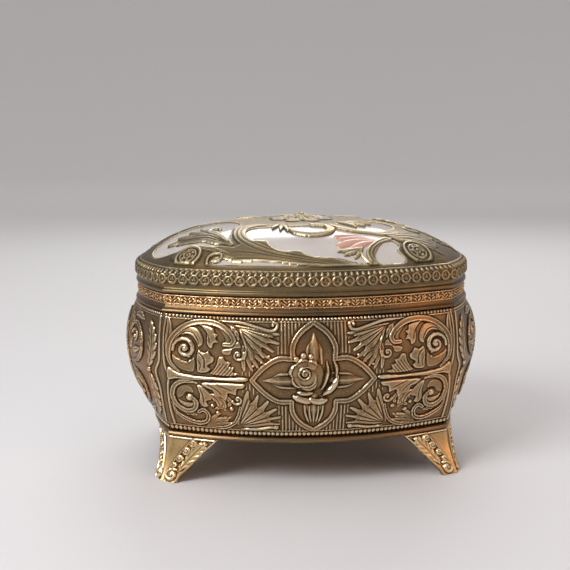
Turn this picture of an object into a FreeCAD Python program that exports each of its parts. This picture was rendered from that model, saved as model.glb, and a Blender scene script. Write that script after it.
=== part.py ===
import FreeCAD, Part
import math
import os

# Vanity trinket box: a small cast-metal casket on four corner feet, with four bowed and
# mitred panels, a gilt frieze, a domed lid with enamel fields, and a plush lining.
# Millimetres. +Z is up, the front faces -Y, and the origin is on the table under the
# middle of the box.

V = FreeCAD.Vector

# ---- overall sizes ------------------------------------------------------------------
OVERALL_WIDTH = 110.0        # across the bellies of the two side panels
OVERALL_DEPTH = 88.0         # across the bellies of the front and back panels
FOOT_HEIGHT = 12.9           # table to the underside of the base plate
WALL_HEIGHT = 35.4           # cast panels, between base plate and shoulder ring
LID_RIM_HEIGHT = 7.4         # moulded vertical band of the lid
DOME_RISE = 10.6             # crown of the lid above its rim

# ---- plan shape: a rectangle whose four sides swell outward as parabolas ---------------
FRONT_BOW = 13.0             # swell of the front and back panels at the belly
SIDE_BOW = 12.0              # swell of the end panels at the belly
BELLY_AT = 0.65              # height of the belly as a share of the wall
FOOT_INSET = 2.2             # the corners draw in by this at the foot of the wall
NECK_INSET = 1.0             # and by this at the neck
FRONT_FLATTER_FOOT = 2.0     # loss of front bow at the foot
FRONT_FLATTER_NECK = 1.5     # loss of front bow at the neck
SIDE_FLATTER_FOOT = 6.5      # loss of side bow at the foot
SIDE_FLATTER_NECK = 2.6      # loss of side bow at the neck

# ---- walls, base and shoulder ----------------------------------------------------------
WALL = 1.8                   # panel thickness
BASE_PLATE = 1.6             # base plate thickness
BASE_LIP = 0.7               # rounded lip of the base plate outside the panels
RING_HEIGHT = 2.2            # shoulder ring: half-round fillet, then a cavetto
RING_FILLET = 1.1            # height of the half-round at the foot of the shoulder ring
RING_LIP = 0.5               # the half-round stands outside the panels by this
COLLAR_INSET = 0.6           # gilt frieze drawn in from the neck of the panels
COLLAR_HEIGHT = 2.9          # visible height of the frieze
TONGUE_HEIGHT = 1.6          # thin tongue that rises inside the lid
TONGUE_WALL = 0.8
TONGUE_CLEARANCE = 0.3       # between the tongue and the inside of the lid

# ---- lid -------------------------------------------------------------------------------
LID_GAP = 0.4                # daylight between the frieze and the lid edge
LID_INSET = 0.3              # lid edge drawn in from the neck of the panels
LID_WALL = 1.5
DOME_POWER = 3.4             # fullness of the crown: 2 is a parabola, higher is flatter
DOME_INSET = 1.3             # crown starts this far inside the rim
ROSETTE_RADIUS = 10.5
ROSETTE_RISE = 1.9
ROSETTE_LOBES = 8
ENAMEL_TOP = 0.3             # enamel surface below the metal
ENAMEL_BED = 0.75            # bottom of the enamel cells below the metal

# ---- hinge -----------------------------------------------------------------------------
KNUCKLES = 5
KNUCKLE_LENGTH = 4.0
KNUCKLE_RADIUS = 1.3
KNUCKLE_GAP = 0.16           # between neighbouring knuckles
PIN_RADIUS = 0.6
PIN_CLEARANCE = 0.05         # running fit, radial
LEAF = 0.8                   # leaf thickness
LEAF_STANDOFF = 1.2          # hinge axis outside the leaf's outer face
LEAF_MARGIN = 0.15           # leaf edge clear of the barrel
LEAF_EDGE_GAP = 0.19         # leaf's far edge short of the end of its seat
HINGE_END_GAP = 0.3          # flat seats cut in collar and lid are longer than the leaves
RIVET_RADIUS = 0.5
RIVET_HEAD = 0.75
RIVET_HEAD_RISE = 0.35
RIVET_DEPTH = 0.35           # shank into the seat

# ---- feet ------------------------------------------------------------------------------
FOOT_WALL = 2.6
FOOT_FLARE = 3.0             # toes stand outside the base by this
WING_TOP_FRONT = 14.0        # length of each bracket wing under the base
WING_TOP_SIDE = 11.0
WING_TOE = 2.6               # length of each wing at the toe

# ---- lining ----------------------------------------------------------------------------
GLUE = 0.1                   # air left for glue between metal and card
CARD = 0.8                   # board under the floor and crown pads
WALL_PLUSH = 1.1             # plush-covered board on the four walls
FLOOR_PAD = 2.2
LID_PAD = 1.6

# ---- heights and half sizes worked out from the above ----------------------------------
BASE_Z = FOOT_HEIGHT
WALL_Z = BASE_Z + BASE_PLATE
NECK_Z = WALL_Z + WALL_HEIGHT
COLLAR_Z = NECK_Z + RING_HEIGHT
COLLAR_TOP = COLLAR_Z + COLLAR_HEIGHT
LID_Z = COLLAR_TOP + LID_GAP
DOME_Z = LID_Z + LID_RIM_HEIGHT
CORNER_X = OVERALL_WIDTH / 2 - SIDE_BOW
CORNER_Y = OVERALL_DEPTH / 2 - FRONT_BOW
NECK_X = CORNER_X - NECK_INSET
NECK_Y = CORNER_Y - NECK_INSET
NECK_FRONT = FRONT_BOW - FRONT_FLATTER_NECK
NECK_SIDE = SIDE_BOW - SIDE_FLATTER_NECK
HINGE_LENGTH = KNUCKLES * KNUCKLE_LENGTH


def outline(x, y, front, side, z):
    """Closed wire with corners at (+-x, +-y); front and side are the bows of its sides."""
    corners = [V(-x, -y, z), V(x, -y, z), V(x, y, z), V(-x, y, z)]
    controls = [V(0, -y - 2 * front, z), V(x + 2 * side, 0, z),
                V(0, y + 2 * front, z), V(-x - 2 * side, 0, z)]
    edges = []
    for i in range(4):
        curve = Part.BezierCurve()
        curve.setPoles([corners[i], controls[i], corners[(i + 1) % 4]])
        edges.append(curve.toShape())
    return Part.Wire(edges)


def wall_outline(z, inset=0.0):
    """Outline of the panels' outer face at height z, drawn in by inset."""
    t = (z - WALL_Z) / WALL_HEIGHT
    below = t < BELLY_AT
    away = ((BELLY_AT - t) / BELLY_AT if below else (t - BELLY_AT) / (1 - BELLY_AT)) ** 2
    draw = (FOOT_INSET if below else NECK_INSET) * away + inset
    front = FRONT_BOW - (FRONT_FLATTER_FOOT if below else FRONT_FLATTER_NECK) * away
    side = SIDE_BOW - (SIDE_FLATTER_FOOT if below else SIDE_FLATTER_NECK) * away
    return outline(CORNER_X - draw, CORNER_Y - draw, front, side, z)


def neck_outline(z, inset):
    """The neck's outline moved to height z; shoulder, collar and lid all follow it."""
    return outline(NECK_X - inset, NECK_Y - inset, NECK_FRONT, NECK_SIDE, z)


def loft(wires, ruled=False):
    return Part.makeLoft(wires, True, ruled)


def wall_solid(inset, z0, z1, steps=6):
    return loft([wall_outline(z0 + (z1 - z0) * i / steps, inset) for i in range(steps + 1)])


def neck_solid(profile):
    """Straight-sided mouldings: profile is a list of (height, inset from the neck)."""
    return loft([neck_outline(z, inset) for z, inset in profile], ruled=True)


def quadrant(side_name, grow=0.0):
    """Wedge between the two mitre planes that bound one side of the box."""
    far, top = 200.0, 120.0
    # the mitre planes run at 45 degrees through the corners of the outline
    ridge = CORNER_X - CORNER_Y
    if side_name == "front":
        points = [(-ridge, 0), (ridge, 0), (ridge + far, -far), (-ridge - far, -far)]
    elif side_name == "back":
        points = [(ridge, 0), (-ridge, 0), (-ridge - far, far), (ridge + far, far)]
    elif side_name == "right":
        points = [(ridge, 0), (ridge + far, far), (ridge + far, -far)]
    else:
        points = [(-ridge, 0), (-ridge - far, -far), (-ridge - far, far)]
    wire = Part.makePolygon([V(x, y, -10) for x, y in points + points[:1]])
    return Part.Face(wire).extrude(V(0, 0, top))


def dome(inset, drop, foot):
    """Crown of the lid drawn in by inset and lowered by drop, on a straight skirt to foot."""
    x, y = NECK_X - LID_INSET - DOME_INSET - inset, NECK_Y - LID_INSET - DOME_INSET - inset
    shares = [1.0, 0.95, 0.86, 0.74, 0.58, 0.40, 0.20]
    rings = [outline(x * r, y * r, NECK_FRONT * r, NECK_SIDE * r,
                     DOME_Z - drop + DOME_RISE * (1 - r ** DOME_POWER)) for r in shares]
    skirt = loft([outline(x, y, NECK_FRONT, NECK_SIDE, z) for z in (foot, DOME_Z - drop)], True)
    return skirt.fuse(loft(rings))


def closed_spline(points, z0, z1):
    """Upright prism on a smooth closed outline through the given plan points."""
    curve = Part.BSplineCurve()
    curve.interpolate([V(x, y, z0) for x, y in points], PeriodicFlag=True)
    return Part.Face(Part.Wire([curve.toShape()])).extrude(V(0, 0, z1 - z0))


def half_turn(shape):
    copy = shape.copy()
    copy.rotate(V(0, 0, 0), V(0, 0, 1), 180)
    return copy


def box(x0, x1, y0, y1, z0, z1):
    return Part.makeBox(x1 - x0, y1 - y0, z1 - z0, V(x0, y0, z0))


# ---- body: base plate, panels, shoulder ring, collar -----------------------------------
SIDES = ("front", "right", "back", "left")
parts = {}

plate_rings = []
for share, lip in ((0.0, 0.0), (0.25, 0.75), (0.55, 1.0), (0.85, 0.75), (1.0, 0.2)):
    ring = wall_outline(WALL_Z, -BASE_LIP * lip)
    ring.translate(V(0, 0, -BASE_PLATE * (1 - share)))
    plate_rings.append(ring)
parts["base_plate"] = loft(plate_rings, ruled=True)

shell = wall_solid(0.0, WALL_Z, NECK_Z).cut(wall_solid(WALL, WALL_Z, NECK_Z))
plush = wall_solid(WALL + GLUE, WALL_Z, NECK_Z).cut(
    wall_solid(WALL + GLUE + WALL_PLUSH, WALL_Z, NECK_Z))
for side in SIDES:
    parts[side + "_panel"] = shell.common(quadrant(side))
    parts["lining_" + side] = plush.common(quadrant(side))

ring_outer = neck_solid([(NECK_Z, 0.0), (NECK_Z + RING_FILLET * 0.2, -RING_LIP * 0.8),
                         (NECK_Z + RING_FILLET * 0.5, -RING_LIP),
                         (NECK_Z + RING_FILLET * 0.85, -RING_LIP * 0.7),
                         (NECK_Z + RING_FILLET, 0.0),
                         (NECK_Z + RING_FILLET * 1.3, COLLAR_INSET * 0.45),
                         (COLLAR_Z, COLLAR_INSET * 0.8)])
tongue_out = LID_INSET + LID_WALL + TONGUE_CLEARANCE
tongue_in = tongue_out + TONGUE_WALL
parts["shoulder_ring"] = ring_outer.cut(neck_solid([(NECK_Z, WALL), (COLLAR_Z, tongue_in)]))

tongue_top = COLLAR_TOP + TONGUE_HEIGHT
collar = neck_solid([(COLLAR_Z, COLLAR_INSET), (COLLAR_TOP, COLLAR_INSET)]).fuse(
    neck_solid([(COLLAR_TOP, tongue_out), (tongue_top, tongue_out)]))
collar = collar.cut(neck_solid([(COLLAR_Z, tongue_in), (tongue_top, tongue_in)]))

# ---- lid -------------------------------------------------------------------------------
lid_rim = neck_solid([(LID_Z, LID_INSET),
                      (LID_Z + 0.5, LID_INSET - 0.45), (LID_Z + 1.0, LID_INSET - 0.4),
                      (LID_Z + 1.4, LID_INSET + 0.15), (LID_Z + 2.1, LID_INSET + 0.3),
                      (LID_Z + 2.8, LID_INSET - 0.1), (LID_Z + 3.2, LID_INSET - 0.6),
                      (LID_Z + 5.7, LID_INSET - 0.5), (LID_Z + 6.1, LID_INSET + 0.1),
                      (DOME_Z, LID_INSET + DOME_INSET)])
lid_hollow = dome(LID_WALL - DOME_INSET, LID_WALL, LID_Z)
lid = lid_rim.fuse(dome(0.0, 0.0, LID_Z + 1.0)).cut(lid_hollow)

# plan outlines of the enamel cells in the front half of the lid; the back half repeats
# them by a half turn about the rosette
WHITE_CELLS = {
    "heart": [(-18, -21), (-15.5, -17.6), (-10, -17.2), (-4, -17), (2, -16.5), (8, -18.2),
              (12, -21.4), (19, -22.6), (22.5, -23.4), (20.5, -26.5), (17.5, -30.5),
              (17, -34.5), (18, -36.6), (12, -37), (6, -36.1), (0.5, -35.8), (-3.2, -33.9),
              (-8, -33.2), (-10.8, -31.2), (-12.4, -28.5), (-16.2, -26.6)],
    "fan": [(19.5, -31), (22, -27), (24.6, -25.6), (26.2, -27.2), (25.6, -30), (27.4, -32.6),
            (26.4, -34), (22.5, -35.4), (19.4, -36), (18.4, -34)],
    "ribbon": [(-26, -31.6), (-22.6, -33.6), (-16, -35.6), (-10, -37), (-4, -38.0), (1.5, -38.7),
               (-4, -38.8), (-10, -38.2), (-18, -36.6), (-25, -34.4), (-28.2, -32.8)],
    "crescent": [(-43.2, -19.5), (-38, -22.6), (-31.5, -24.8), (-27.2, -26.6), (-23.4, -25.2),
                 (-22.4, -20), (-21.2, -15), (-19.5, -10.5), (-21, -3.5), (-27, 2.5), (-34, 2),
                 (-41, -3), (-45.2, -9), (-45.2, -15)],
    "upper": [(9.8, -14.8), (12.5, -18.6), (17.5, -20.2), (23, -19.4), (26.3, -15), (27.2, -9.5),
              (24, -6), (18, -6), (13, -9)],
}
PALMETTE = [(20.6, -26.6), (14.5, -25.6), (8.8, -26.4), (9.6, -28.6), (8.2, -31.2),
            (11.4, -33.6), (14.6, -33.4), (17.6, -30.4)]

bed = dome(0.0, ENAMEL_BED, LID_Z)
glaze = dome(0.0, ENAMEL_TOP, LID_Z)
palmette = closed_spline(PALMETTE, LID_Z, DOME_Z + DOME_RISE * 2)
white = []
pink = []
for points in WHITE_CELLS.values():
    prism = closed_spline(points, LID_Z, DOME_Z + DOME_RISE * 2)
    for turned in (prism, half_turn(prism)):
        lid = lid.cut(turned.cut(bed))
        white.append(turned.common(glaze).cut(bed))
for turned in (palmette, half_turn(palmette)):
    lid = lid.cut(turned.cut(bed))
    white = [piece.cut(turned) for piece in white]
    pink.append(turned.common(dome(0.0, -ENAMEL_TOP, LID_Z)).cut(bed))

crown_z = DOME_Z + DOME_RISE
rosette_profile = [V(0, 0, crown_z - 0.9), V(ROSETTE_RADIUS, 0, crown_z - 0.9),
                   V(ROSETTE_RADIUS, 0, crown_z + 0.1),
                   V(ROSETTE_RADIUS * 0.55, 0, crown_z + ROSETTE_RISE * 0.55),
                   V(ROSETTE_RADIUS * 0.3, 0, crown_z + ROSETTE_RISE * 0.8),
                   V(0, 0, crown_z + ROSETTE_RISE), V(0, 0, crown_z - 0.9)]
rosette = Part.Face(Part.makePolygon(rosette_profile)).revolve(V(0, 0, 0), V(0, 0, 1), 360)
for i in range(ROSETTE_LOBES):
    a = 2 * math.pi * (i + 0.5) / ROSETTE_LOBES
    notch = Part.makeCylinder(ROSETTE_RADIUS * 0.2, 6.0,
                              V(ROSETTE_RADIUS * 1.08 * math.cos(a),
                                ROSETTE_RADIUS * 1.08 * math.sin(a), crown_z - 3))
    rosette = rosette.cut(notch)
parts["lid_rosette"] = rosette.cut(dome(0.0, 0.0, LID_Z))

# ---- hinge -----------------------------------------------------------------------------
# flat seats are cut where the straight leaves meet the bowed back of collar and lid
seat_half = HINGE_LENGTH / 2 + HINGE_END_GAP
sag = NECK_FRONT * (seat_half / NECK_X) ** 2
SEAT_Y = NECK_Y + NECK_FRONT - COLLAR_INSET - sag - 0.05
AXIS_Y = SEAT_Y + LEAF + LEAF_STANDOFF
AXIS_Z = LID_Z - LID_GAP / 2
leaf_off = math.sqrt((KNUCKLE_RADIUS + LEAF_MARGIN) ** 2 - LEAF_STANDOFF ** 2)
leaf_height = AXIS_Z - leaf_off - COLLAR_Z - LEAF_EDGE_GAP
seat = box(-seat_half, seat_half, SEAT_Y, SEAT_Y + 12, COLLAR_Z, 2 * AXIS_Z - COLLAR_Z)
collar = collar.cut(seat)
lid = lid.cut(seat)


def leaf(up, own):
    """Leaf on one side of the axis (up is +1 for the lid) with its own knuckles."""
    z0, z1 = sorted((AXIS_Z + up * leaf_off, AXIS_Z + up * (leaf_off + leaf_height)))
    shape = box(-HINGE_LENGTH / 2, HINGE_LENGTH / 2, SEAT_Y, SEAT_Y + LEAF, z0, z1)
    for k in own:
        x0 = -HINGE_LENGTH / 2 + k * KNUCKLE_LENGTH + KNUCKLE_GAP / 2
        length = KNUCKLE_LENGTH - KNUCKLE_GAP
        barrel = Part.makeCylinder(KNUCKLE_RADIUS, length, V(x0, AXIS_Y, AXIS_Z), V(1, 0, 0))
        za, zb = sorted((AXIS_Z + up * LID_GAP * 0.75, AXIS_Z + up * (leaf_off + 0.3)))
        arm = box(x0, x0 + length, SEAT_Y + LEAF * 0.1, AXIS_Y, za, zb)
        shape = shape.fuse([barrel, arm])
    bore = Part.makeCylinder(PIN_RADIUS + PIN_CLEARANCE, HINGE_LENGTH + 2,
                             V(-HINGE_LENGTH / 2 - 1, AXIS_Y, AXIS_Z), V(1, 0, 0))
    return shape.cut(bore).removeSplitter()


def rivets(z):
    """Three round-headed rivets through a leaf into its seat."""
    shapes = []
    for x in (-HINGE_LENGTH * 0.38, 0.0, HINGE_LENGTH * 0.38):
        y = SEAT_Y + LEAF
        shank = Part.makeCylinder(RIVET_RADIUS, LEAF + RIVET_DEPTH,
                                  V(x, SEAT_Y - RIVET_DEPTH, z), V(0, 1, 0))
        head = Part.makeCone(RIVET_HEAD, RIVET_HEAD * 0.5, RIVET_HEAD_RISE,
                             V(x, y, z), V(0, 1, 0))
        shapes.append(shank.fuse(head).removeSplitter())
    return shapes


def without(shape, tools):
    for tool in tools:
        shape = shape.cut(tool)
    return shape


body_rivets = rivets(AXIS_Z - leaf_off - leaf_height * 0.55)
lid_rivets = rivets(AXIS_Z + leaf_off + leaf_height * 0.55)
parts["hinge_body_leaf"] = without(leaf(-1, range(0, KNUCKLES, 2)), body_rivets)
parts["hinge_lid_leaf"] = without(leaf(1, range(1, KNUCKLES, 2)), lid_rivets)
parts["gilt_collar"] = without(collar, body_rivets)
parts["lid_shell"] = without(lid, lid_rivets)
parts["hinge_body_rivets"] = Part.makeCompound(body_rivets)
parts["hinge_lid_rivets"] = Part.makeCompound(lid_rivets)
parts["hinge_pin"] = Part.makeCylinder(PIN_RADIUS, HINGE_LENGTH + 0.6,
                                       V(-HINGE_LENGTH / 2 - 0.3, AXIS_Y, AXIS_Z), V(1, 0, 0))
parts["enamel_white"] = Part.makeCompound([s for piece in white for s in piece.Solids])
parts["enamel_pink"] = Part.makeCompound([s for piece in pink for s in piece.Solids])

# ---- feet ------------------------------------------------------------------------------
foot_x, foot_y = CORNER_X - FOOT_INSET, CORNER_Y - FOOT_INSET
foot_front = FRONT_BOW - FRONT_FLATTER_FOOT
foot_side = SIDE_BOW - SIDE_FLATTER_FOOT


def foot_shell(inset):
    rings = []
    for share in (0.0, 0.3, 0.65, 1.0):
        flare = FOOT_FLARE * (1 - share) ** 1.6 - inset
        rings.append(outline(foot_x + flare, foot_y + flare, foot_front, foot_side,
                             FOOT_HEIGHT * share))
    return loft(rings)


def wing_prism(corner, top, along_x):
    """Upright plate in the wing's elevation: long under the base, short at the toe."""
    start = corner + FOOT_FLARE + 8
    end_top, end_toe = corner - top, corner - WING_TOE
    h = FOOT_HEIGHT
    curve = Part.BSplineCurve()
    curve.interpolate([V(end_top, 0, h), V(corner - top * 0.69, 0, h * 0.68),
                       V(corner - top * 0.39, 0, h * 0.34), V(end_toe, 0, h * 0.13),
                       V(end_toe + 1.0, 0, 0)])
    edges = [curve.toShape(), Part.makeLine(V(end_toe + 1.0, 0, 0), V(start, 0, 0)),
             Part.makeLine(V(start, 0, 0), V(start, 0, h)),
             Part.makeLine(V(start, 0, h), V(end_top, 0, h))]
    face = Part.Face(Part.Wire(edges))
    if not along_x:
        face.rotate(V(0, 0, 0), V(0, 0, 1), 90)
        return face.extrude(V(120, 0, 0))
    return face.extrude(V(0, 120, 0))


feet_ring = foot_shell(0.0).cut(foot_shell(FOOT_WALL))
front_wing = feet_ring.common(quadrant("back")).common(wing_prism(foot_x, WING_TOP_FRONT, True))
side_wing = feet_ring.common(quadrant("right")).common(wing_prism(foot_y, WING_TOP_SIDE, False))
foot = front_wing.fuse(side_wing).removeSplitter()
mirrored = foot.mirror(V(0, 0, 0), V(1, 0, 0))
parts["foot_back_right"] = foot
parts["foot_back_left"] = mirrored
parts["foot_front_left"] = half_turn(foot)
parts["foot_front_right"] = half_turn(mirrored)

# ---- lining ----------------------------------------------------------------------------
lining_edge = WALL + 2 * GLUE + WALL_PLUSH


def floor_layer(z0, z1, inset):
    ring = wall_outline(WALL_Z, inset)
    ring.translate(V(0, 0, z0 - WALL_Z))
    return Part.Face(ring).extrude(V(0, 0, z1 - z0))


parts["lining_floor_card"] = floor_layer(WALL_Z, WALL_Z + CARD, lining_edge)
parts["lining_floor_pad"] = floor_layer(WALL_Z + CARD, WALL_Z + CARD + FLOOR_PAD,
                                        lining_edge + GLUE)
LINING_FOOT = DOME_Z - LID_WALL - LID_PAD - CARD - 1.0
card_out, card_in = LID_WALL + GLUE, LID_WALL + GLUE + CARD
parts["lining_lid_card"] = dome(card_out - DOME_INSET, card_out, LINING_FOOT).cut(
    dome(card_in - DOME_INSET, card_in, LINING_FOOT))
parts["lining_lid_pad"] = dome(card_in - DOME_INSET, card_in, LINING_FOOT).cut(
    dome(card_in + LID_PAD - DOME_INSET, card_in + LID_PAD, LINING_FOOT))

os.makedirs("parts", exist_ok=True)
for name, shape in parts.items():
    shape.exportStep("parts/" + name + ".step")
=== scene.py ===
import bpy
import math
import numpy as np
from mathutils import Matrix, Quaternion, Vector


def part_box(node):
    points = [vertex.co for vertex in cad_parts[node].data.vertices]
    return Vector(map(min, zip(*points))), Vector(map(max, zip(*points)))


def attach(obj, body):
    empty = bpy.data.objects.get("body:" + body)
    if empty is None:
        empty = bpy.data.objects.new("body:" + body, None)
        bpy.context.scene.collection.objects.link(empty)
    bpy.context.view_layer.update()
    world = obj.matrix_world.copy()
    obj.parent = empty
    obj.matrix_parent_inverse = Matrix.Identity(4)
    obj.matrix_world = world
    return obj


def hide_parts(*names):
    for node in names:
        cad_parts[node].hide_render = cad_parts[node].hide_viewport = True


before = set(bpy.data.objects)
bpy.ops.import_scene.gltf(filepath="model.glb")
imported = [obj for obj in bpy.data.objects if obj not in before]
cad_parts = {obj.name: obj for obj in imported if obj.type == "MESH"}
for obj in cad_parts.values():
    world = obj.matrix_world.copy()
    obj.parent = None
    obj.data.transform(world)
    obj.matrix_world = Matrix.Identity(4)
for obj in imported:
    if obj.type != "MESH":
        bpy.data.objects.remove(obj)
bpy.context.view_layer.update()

MM = 0.001

# ---------------------------------------------------------------------------------------
# Shape of the box, in millimetres, read off the CAD nodes; the bows follow the design.
# ---------------------------------------------------------------------------------------


def box_mm(node):
    low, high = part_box(node)
    return np.array(low) / MM, np.array(high) / MM


wall_lo, wall_hi = box_mm("front_panel")
end_hi = box_mm("right_panel")[1]
WALL_Z, NECK_Z = wall_lo[2], wall_hi[2]
CORNER_X, CORNER_Y = wall_hi[0], end_hi[1]
FRONT_BOW, SIDE_BOW = 13.0, 12.0     # plan bows of the long and short sides at the belly
BELLY_AT = 0.65              # height of the belly as a share of the wall
FOOT_DRAW, NECK_DRAW = 2.2, 1.0      # corners draw in at the foot and at the neck
FRONT_LOSS = (2.0, 1.5)      # bow that the long sides lose at the foot and at the neck
SIDE_LOSS = (6.5, 2.6)       # and the short sides
BASE_Z = box_mm("base_plate")[0][2]
COLLAR_Z = box_mm("gilt_collar")[0][2]
LID_Z = box_mm("lid_shell")[0][2]
LID_GAP = 0.4                # between the tongue of the collar and the lid's lower edge
RIM_HEIGHT = 7.4             # moulded rim of the lid
DOME_RISE, DOME_POWER = 10.6, 3.4    # crown above the rim, and how square its shoulder is
DOME_INSET = 1.6             # crown's foot, inside the line of the neck
COLLAR_TOP, DOME_Z = LID_Z - LID_GAP, LID_Z + RIM_HEIGHT
NECK_X, NECK_Y = CORNER_X - NECK_DRAW, CORNER_Y - NECK_DRAW
NECK_FRONT, NECK_SIDE = FRONT_BOW - FRONT_LOSS[1], SIDE_BOW - SIDE_LOSS[1]
DOME_X, DOME_Y = NECK_X - DOME_INSET, NECK_Y - DOME_INSET
GROUND = 0.12                # relief skins lie this far outside the plain castings


def wall_section(z):
    """Corner half sizes and bows of the wall at heights z."""
    t = (z - WALL_Z) / (NECK_Z - WALL_Z)
    low = t < BELLY_AT
    away = np.where(low, (BELLY_AT - t) / BELLY_AT, (t - BELLY_AT) / (1 - BELLY_AT)) ** 2
    draw = np.where(low, FOOT_DRAW, NECK_DRAW) * away
    front = FRONT_BOW - np.where(low, *FRONT_LOSS) * away
    side = SIDE_BOW - np.where(low, *SIDE_LOSS) * away
    return CORNER_X - draw, CORNER_Y - draw, front, side


def neck_section(inset):
    return NECK_X - inset, NECK_Y - inset, NECK_FRONT, NECK_SIDE


def swell(u, section, side):
    """Plan points of one side, u from -1 to 1 counter-clockwise seen from above."""
    a, b, front, end = section
    bulge = 1 - u ** 2
    if side == "front":
        return u * a, -(b + front * bulge)
    if side == "back":
        return -u * a, b + front * bulge
    if side == "right":
        return a + end * bulge, u * b
    return -(a + end * bulge), -u * b


def dome_share(x, y):
    """Which nested outline of the crown, from 0 at the middle to 1 at its rim, holds (x, y)."""
    x, y = np.abs(x), np.abs(y)
    by_front = (y + np.sqrt(y ** 2 + 4 * (DOME_Y + NECK_FRONT) * NECK_FRONT * (x / DOME_X) ** 2)) \
        / (2 * (DOME_Y + NECK_FRONT))
    by_side = (x + np.sqrt(x ** 2 + 4 * (DOME_X + NECK_SIDE) * NECK_SIDE * (y / DOME_Y) ** 2)) \
        / (2 * (DOME_X + NECK_SIDE))
    return np.where(y * DOME_X > x * DOME_Y, by_front, by_side)


def dome_height(x, y):
    return DOME_Z + DOME_RISE * (1 - np.clip(dome_share(x, y), 0, 1.2) ** DOME_POWER)


# ---------------------------------------------------------------------------------------
# Relief: every casting's ornament is drawn as heights over two plain coordinates in mm
# ---------------------------------------------------------------------------------------


def smooth(x):
    x = np.clip(x, 0, 1)
    return x * x * (3 - 2 * x)


def arch(q):
    """Half-round profile: 1 in the middle, 0 from |q| = 1 outwards."""
    return np.sqrt(np.clip(1 - q ** 2, 0, 1))


def curve(points, per=10, closed=False):
    """Dense points of a smooth (Catmull-Rom) curve through the given points."""
    p = np.array(points, float)
    if closed:
        q = np.vstack([p[-1], p, p[0], p[1]])
    else:
        q = np.vstack([2 * p[0] - p[1], p, 2 * p[-1] - p[-2]])
    t = np.linspace(0, 1, per, endpoint=False)[:, None]
    out = []
    for a, b, c, d in zip(q[:-3], q[1:-2], q[2:-1], q[3:]):
        out.append(0.5 * (2 * b + (c - a) * t + (2 * a - 5 * b + 4 * c - d) * t ** 2
                          + (3 * b - a - 3 * c + d) * t ** 3))
    out = np.vstack(out)
    return np.vstack([out, p[0] if closed else p[-1]])


def spiral(cx, cy, r0, r1, start, turns, steps=14):
    """Points winding from radius r0 in to r1; start in degrees, turns signed."""
    n = max(8, int(abs(turns) * steps))
    t = np.linspace(0, 1, n)
    r = r1 + (r0 - r1) * (1 - t) ** 1.25
    a = math.radians(start) + 2 * math.pi * turns * t
    return np.column_stack([cx + r * np.cos(a), cy + r * np.sin(a)])


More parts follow.
